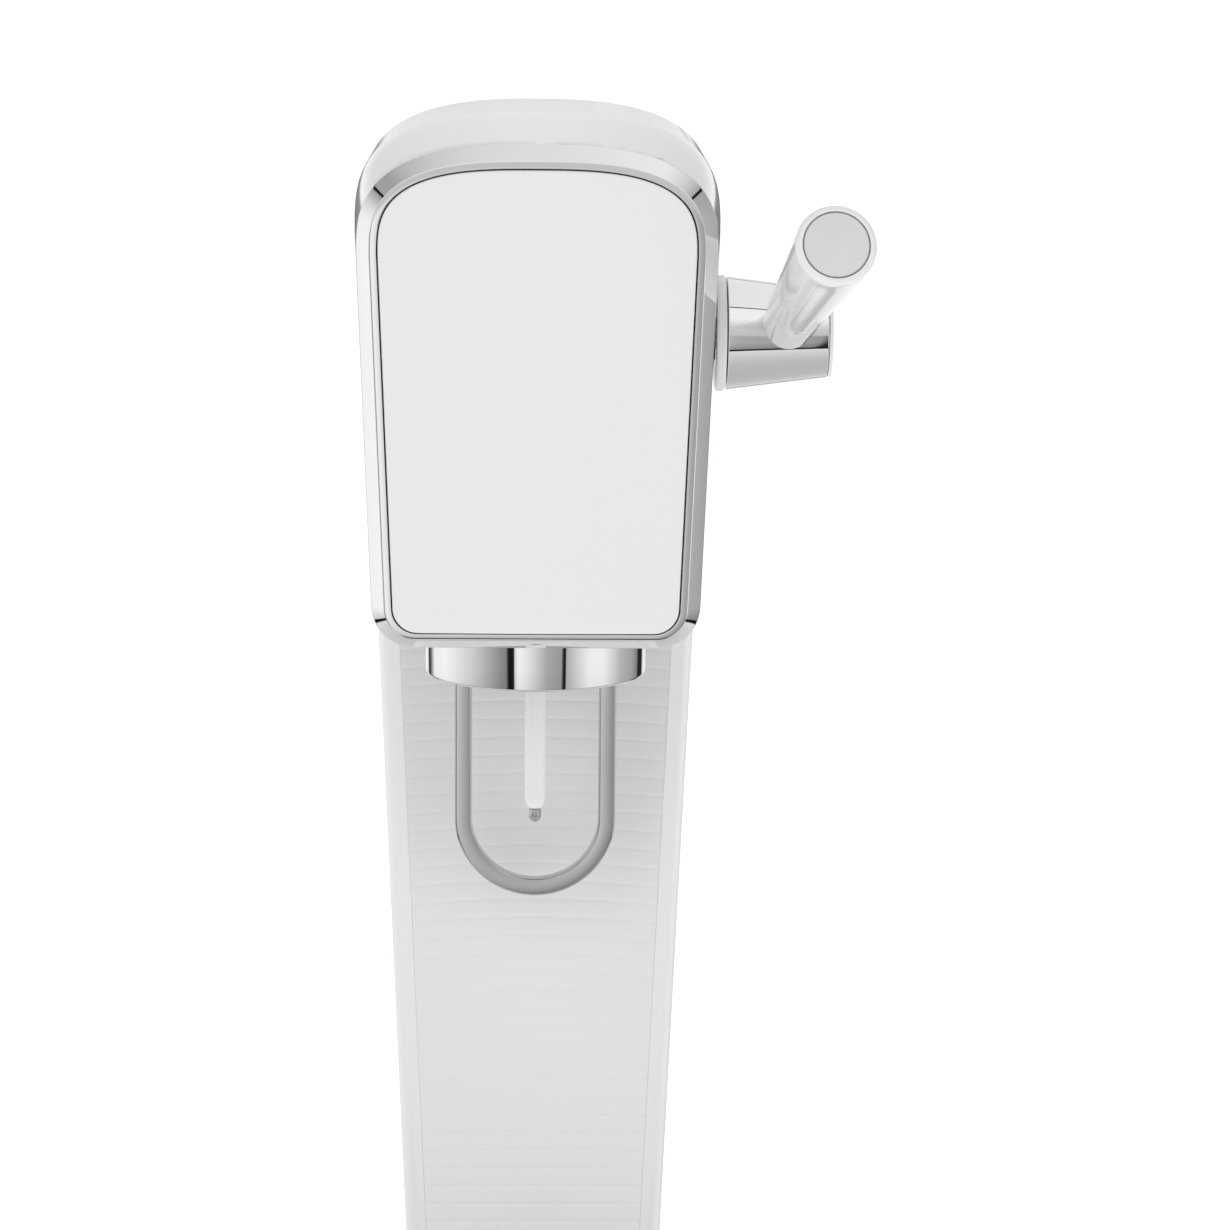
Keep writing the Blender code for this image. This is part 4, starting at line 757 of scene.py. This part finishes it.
makeLock()
print("bottle lock made")

# Hose and spring inside the head, built in one shape; the real ones change shape as the machine moves

inside = {"hoseRadius": 2.4 * mm, "wire": 0.55 * mm, "coil": 4.5 * mm, "turns": 4.0}


def smoothPath(points, steps):
    ends = [2 * points[0] - points[1]] + points + [2 * points[-1] - points[-2]]
    path = []
    for a, b, c, d in zip(ends, ends[1:], ends[2:], ends[3:]):
        for i in range(steps):
            t = i / steps
            path.append(0.5 * (2 * b + (c - a) * t + (2 * a - 5 * b + 4 * c - d) * t**2
                               + (3 * b - a - 3 * c + d) * t**3))
    return path + [points[-1]]


def makeInside():
    n = inside
    height = leverAt.z - 15.0 * mm
    head = holderAt.z + 13 * mm
    route = [(8.6, 78, height), (18, 78, height), (25, 72, height), (27, 57, height - 1 * mm),
             (27, 43, mix(height, head, 0.3)), (26, 27, mix(height, head, 0.8)), (22, 12, head),
             (14.8, 5, head)]
    points = [Vector((axisX + x * mm, axisY + y * mm, z)) for x, y, z in route]
    ring = [(n["hoseRadius"] * math.cos(math.tau * i / 20), n["hoseRadius"] * math.sin(math.tau * i / 20))
            for i in range(20)]
    hose = addPiece("gasHose", sweep(smoothPath(points, 10), ring, Vector((0, 0, 1))),
                    looks["clear_white"], None, ["gas_hose"], 50)
    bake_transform(hose)

    low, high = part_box("plunger_spring")
    middle = (low + high) / 2
    wire = n["wire"]
    count = int(n["turns"] * 32)
    coil = []
    for i in range(count + 1):
        angle = math.tau * n["turns"] * i / count
        coil.append((middle.x + n["coil"] * math.cos(angle), middle.y + n["coil"] * math.sin(angle),
                     mix(low.z + wire, high.z - wire, i / count)))
    ring = [(wire * math.cos(math.tau * i / 12), wire * math.sin(math.tau * i / 12)) for i in range(12)]
    spring = addPiece("plungerSpring", sweep(coil, ring, Vector((0, 0, 1))), looks["satin_steel"], "main",
                      ["plunger_spring"], 60)
    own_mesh(spring)


makeInside()
print("hose and spring made")

# Base and tray

foot = {"corner": 20.0 * mm, "trayHalf": 45.0 * mm, "trayFront": 8.0 * mm, "trayDeep": 5.0 * mm,
        "edge": 0.4 * mm}


def footRing(z, inset):
    half = (baseHigh.x - baseLow.x) / 2 - inset
    corner = foot["corner"] - inset
    centreX = (baseLow.x + baseHigh.x) / 2
    centreY = baseLow.y + (baseHigh.x - baseLow.x) / 2
    back = baseHigh.y - inset
    pairs = arc((0, centreY), half, -180, 0, 72) + arc((half - corner, back - corner), corner, 0, 90, 16)
    pairs += arc((-half + corner, back - corner), corner, 90, 180, 16)
    return [(centreX + x, y, z) for x, y in pairs]


def trayRing(z, inset):
    half = foot["trayHalf"] - inset
    front = baseLow.y + foot["trayFront"] + foot["trayHalf"]
    pairs = arc((0, front), half, -180, 0, 60) + arc((0, axisY), half, 0, 180, 60)
    return [(axisX + x, y, z) for x, y in pairs]


def makeFoot():
    top, low = baseHigh.z, baseLow.z
    levels = [(low, 1.0), (low + 0.4 * mm, 0.45), (low + 1.5 * mm, 0), (top - 5 * mm, 0),
              (top - 3.6 * mm, 0.15), (top - 2.4 * mm, 0.6), (top - 1.4 * mm, 1.3), (top - 0.6 * mm, 2.3),
              (top - 0.15 * mm, 3.3), (top, 4.4)]
    piece = addPiece("baseCasing", loft([footRing(z, i * mm) for z, i in levels]), looks["gloss_white"],
                     "main", ["base_shell"])
    pocket = top - foot["trayDeep"]
    hollow = loft([footRing(z, 3 * mm) for z in (low - 5 * mm, pocket - 2.5 * mm)])
    well = loft([trayRing(z, -0.3 * mm) for z in (pocket, top + 5 * mm)])
    cutWith(piece, [hollow, well])
    softenEdges(piece, foot["edge"])

    trayLow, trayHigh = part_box("drip_tray")
    floor = trayLow.z + 2 * mm
    rim = trayHigh.z
    rings = [trayRing(trayLow.z, 1.0 * mm), trayRing(trayLow.z + 0.3 * mm, 0.3 * mm),
             trayRing(trayLow.z + 1 * mm, 0), trayRing(rim - 0.5 * mm, 0),
             trayRing(rim - 0.15 * mm, 0.15 * mm), trayRing(rim, 0.5 * mm), trayRing(rim, 1.3 * mm),
             trayRing(rim - 0.15 * mm, 1.65 * mm), trayRing(rim - 0.5 * mm, 1.8 * mm),
             trayRing(floor + 1.2 * mm, 1.8 * mm), trayRing(floor + 0.35 * mm, 2.1 * mm),
             trayRing(floor, 3.0 * mm)]
    tray = loft(rings)
    addPiece("dripTray", tray, looks["satin_steel"], "tray", ["drip_tray"], 40)


makeFoot()
print("base made")

# Floor, studio light and camera

studio = {"floor": 0.90, "glow": 0.42, "world": 0.74, "tentRadius": 6.0, "tentHeight": 0.33,
          "lampAim": 0.3}
lamps = {
    "keyLight": dict(place=(-0.9, -1.1, 1.2), width=0.8, height=1.2, power=2.6),
    "fillLight": dict(place=(1.2, -0.9, 0.7), width=0.7, height=1.2, power=1.2),
    "topLight": dict(place=(0.0, 0.3, 1.6), width=1.4, height=0.9, power=0.6),
}
view = {"lens": 112.7, "sensor": 36, "pitch": 11.0, "yaw": 1.2, "roll": 0.5, "distance": 1.161,
        "height": 0.5094}

# Brightness seen in reflections. Level, above and high go by azimuth in degrees, 0 to the front and + to
# the right. Ceiling goes by x over z, and below by elevation in degrees.
tent = {
    "level": [(-180, 0.86), (-166, 1.0), (-151, 1.0), (-149, 0.15), (-144, 0.02), (-138, 0.3),
              (-131, 0.98), (-107, 1.06), (-70, 0.72), (-37, 0.31), (-30, 0.26), (-29, 0.01), (-22, 0.01),
              (-21, 0.85), (-17, 1.02), (-10, 0.92), (12, 0.45), (25, 0.37), (27.6, 0.36), (28.2, 0.01),
              (31.4, 0.01), (32, 0.5), (58, 1.0), (74, 1.0), (100, 0.52), (120, 0.40), (131, 0.24),
              (134, 0.02), (145, 0.02), (150, 0.9), (166, 1.0), (180, 0.86)],
    "above": [(-180, 0.84), (-170, 0.70), (-160, 0.62), (-125, 1.0), (-95, 1.05), (-55, 0.75),
              (-20, 0.62), (40, 0.62), (85, 0.55), (115, 0.46), (160, 0.62), (170, 0.70), (180, 0.84)],
    "high": [(-180, 0.85), (-165, 0.62), (-150, 0.5), (-125, 0.16), (-95, 0.16), (-55, 0.6), (-20, 1.0),
             (50, 1.0), (90, 0.45), (120, 0.38), (150, 0.5), (165, 0.62), (180, 0.85)],
    "ceiling": [(-1.38, 0.42), (-0.9, 0.40), (-0.35, 0.66), (-0.1, 0.80), (0.15, 0.90), (0.5, 0.96),
                (0.9, 0.72), (1.38, 0.44)],
    "below": [(-90, 0.52), (-60, 0.58), (-40, 0.72), (-31.0, 0.82), (-30.5, 0.01), (-27.2, 0.01)],
    "levelFade": (-14, -26),  # elevations over which the lower part dims to 0.7
    "climb": (6, 36),  # elevations over which above turns into high
    "join": (-1, 3),  # elevations over which level turns into above
    "stripAcross": (156, 178),  # a dark strip low behind, by azimuth and elevation
    "stripUp": (-8, -1.4),
    "stripTone": 0.12,
    "panelSide": 1.38,  # the ceiling panel's edges, as x or y over z
    "panelFront": -0.51,
    "panelBack": 2.2,
    "floorEdge": (-26.8, -27.2),
}


def makeTent():
    look = bpy.data.materials.new("studioTent")
    look.use_nodes = True
    nodes, links = look.node_tree.nodes, look.node_tree.links
    nodes.clear()

    def put(socket, value):
        if isinstance(value, bpy.types.NodeSocket):
            links.new(value, socket)
        else:
            socket.default_value = value

    def calc(operation, a, b=0.0, clamp=False):
        node = nodes.new("ShaderNodeMath")
        node.operation, node.use_clamp = operation, clamp
        put(node.inputs[0], a)
        put(node.inputs[1], b)
        return node.outputs[0]

    def blend(a, b, share):
        node = nodes.new("ShaderNodeMix")
        for socket, value in zip(("Factor", "A", "B"), (share, a, b)):
            put(node.inputs[socket], value)
        return node.outputs[0]

    def ramp(value, stops):
        first, last = stops[0][0], stops[-1][0]
        node = nodes.new("ShaderNodeValToRGB")
        row = node.color_ramp.elements
        while len(row) < len(stops):
            row.new(0.5)
        for element, (place, tone) in zip(row, stops):
            element.position = (place - first) / (last - first)
            element.color = (tone, tone, tone, 1)
        put(node.inputs[0], calc("DIVIDE", calc("SUBTRACT", value, first), last - first))
        return node.outputs[0]

    def step(value, low, high):
        return calc("DIVIDE", calc("SUBTRACT", value, low), high - low, clamp=True)

    place = nodes.new("ShaderNodeTexCoord")
    unit = nodes.new("ShaderNodeVectorMath")
    unit.operation = "NORMALIZE"
    links.new(place.outputs["Object"], unit.inputs[0])
    split = nodes.new("ShaderNodeSeparateXYZ")
    links.new(unit.outputs[0], split.inputs[0])
    x, y, z = split.outputs
    degrees = 180 / math.pi
    azimuth = calc("MULTIPLY", calc("ARCTAN2", x, calc("MULTIPLY", y, -1.0)), degrees)
    elevation = calc("MULTIPLY", calc("ARCSINE", z), degrees)

    level = calc("MULTIPLY", ramp(azimuth, tent["level"]),
                 blend(1.0, 0.7, step(elevation, *tent["levelFade"])))
    side = calc("ABSOLUTE", azimuth)
    near, far = tent["stripAcross"]
    behind = calc("MULTIPLY", step(side, near, near + 2), step(side, far, far - 2))
    climb = calc("POWER", step(elevation, *tent["climb"]), 1.6)
    above = blend(ramp(azimuth, tent["above"]), ramp(azimuth, tent["high"]), climb)
    value = blend(level, above, step(elevation, *tent["join"]))
    low, high = tent["stripUp"]
    dark = calc("MULTIPLY", step(elevation, low, low + 0.6), step(elevation, high, high - 0.6))
    value = blend(value, tent["stripTone"], calc("MULTIPLY", behind, dark))

    up = calc("MAXIMUM", z, 0.05)
    across, along = calc("DIVIDE", x, up), calc("DIVIDE", y, up)
    reach = calc("MAXIMUM", calc("DIVIDE", calc("ABSOLUTE", across), tent["panelSide"]),
                 calc("MAXIMUM", calc("DIVIDE", along, tent["panelFront"]),
                      calc("DIVIDE", along, tent["panelBack"])))
    value = blend(ramp(across, tent["ceiling"]), value, step(reach, 1.0, 1.005))
    value = blend(value, 0.01, calc("MULTIPLY", step(reach, 1.0, 1.01), step(reach, 1.11, 1.10)))
    value = blend(value, ramp(elevation, tent["below"]), step(elevation, *tent["floorEdge"]))

    glow = nodes.new("ShaderNodeEmission")
    end = nodes.new("ShaderNodeOutputMaterial")
    links.new(value, glow.inputs["Color"])
    links.new(glow.outputs[0], end.inputs["Surface"])
    shape = bmesh.new()
    bmesh.ops.create_uvsphere(shape, u_segments=64, v_segments=32, radius=studio["tentRadius"])
    mesh = bpy.data.meshes.new("studioTent")
    shape.to_mesh(mesh)
    shape.free()
    mesh.materials.append(look)
    ball = bpy.data.objects.new("studioTent", mesh)
    bpy.context.scene.collection.objects.link(ball)
    ball.location = (axisX, axisY, studio["tentHeight"])
    ball.visible_camera = ball.visible_shadow = ball.visible_diffuse = ball.visible_transmission = False


def makeFloor():
    mesh = bpy.data.meshes.new("floor")
    mesh.from_pydata([(-40, -40, 0), (40, -40, 0), (40, 40, 0), (-40, 40, 0)], [], [(0, 1, 2, 3)])
    look = bpy.data.materials.new("floor")
    look.use_nodes = True
    shader = look.node_tree.nodes["Principled BSDF"]
    tone = studio["floor"]
    shader.inputs["Base Color"].default_value = (tone, tone, tone, 1)
    shader.inputs["Roughness"].default_value = 0.9
    shader.inputs["Specular IOR Level"].default_value = 0.0
    shader.inputs["Emission Color"].default_value = (1, 1, 1, 1)
    shader.inputs["Emission Strength"].default_value = studio["glow"]
    mesh.materials.append(look)
    floor = bpy.data.objects.new("floor", mesh)
    bpy.context.scene.collection.objects.link(floor)
    floor.visible_glossy = False


def areaLight(name, target, place, width, height, power):
    data = bpy.data.lights.new(name, "AREA")
    data.shape, data.size, data.size_y, data.energy = "RECTANGLE", width, height, power
    lamp = bpy.data.objects.new(name, data)
    lamp.location = place
    lamp.rotation_mode = "QUATERNION"
    lamp.rotation_quaternion = (Vector(target) - Vector(place)).to_track_quat("-Z", "Y")
    lamp.visible_glossy = False
    bpy.context.scene.collection.objects.link(lamp)


def makeStudio():
    makeFloor()
    makeTent()
    world = bpy.data.worlds.new("studio")
    bpy.context.scene.world = world
    world.use_nodes = True
    world.node_tree.nodes["Background"].inputs["Color"].default_value = (1, 1, 1, 1)
    world.node_tree.nodes["Background"].inputs["Strength"].default_value = studio["world"]
    middle = (axisX, axisY, studio["lampAim"])
    for name, lamp in lamps.items():
        areaLight(name, middle, **lamp)

    data = bpy.data.cameras.new("camera")
    data.sensor_width = view["sensor"]
    data.lens = view["lens"]
    data.clip_start, data.clip_end = 0.05, 200
    camera = bpy.data.objects.new("camera", data)
    bpy.context.scene.collection.objects.link(camera)
    bpy.context.scene.camera = camera
    pitch, yaw = math.radians(view["pitch"]), math.radians(view["yaw"])
    ahead = Vector((math.sin(yaw) * math.cos(pitch), math.cos(yaw) * math.cos(pitch), -math.sin(pitch)))
    camera.location = (axisX, axisY - view["distance"], view["height"])
    camera.rotation_mode = "QUATERNION"
    roll = Quaternion((0, 0, 1), math.radians(view["roll"]))
    camera.rotation_quaternion = ahead.to_track_quat("-Z", "Y") @ roll
    bpy.context.scene.view_settings.view_transform = "Standard"
    bpy.context.scene.view_settings.look = "None"


makeStudio()
print("studio made")
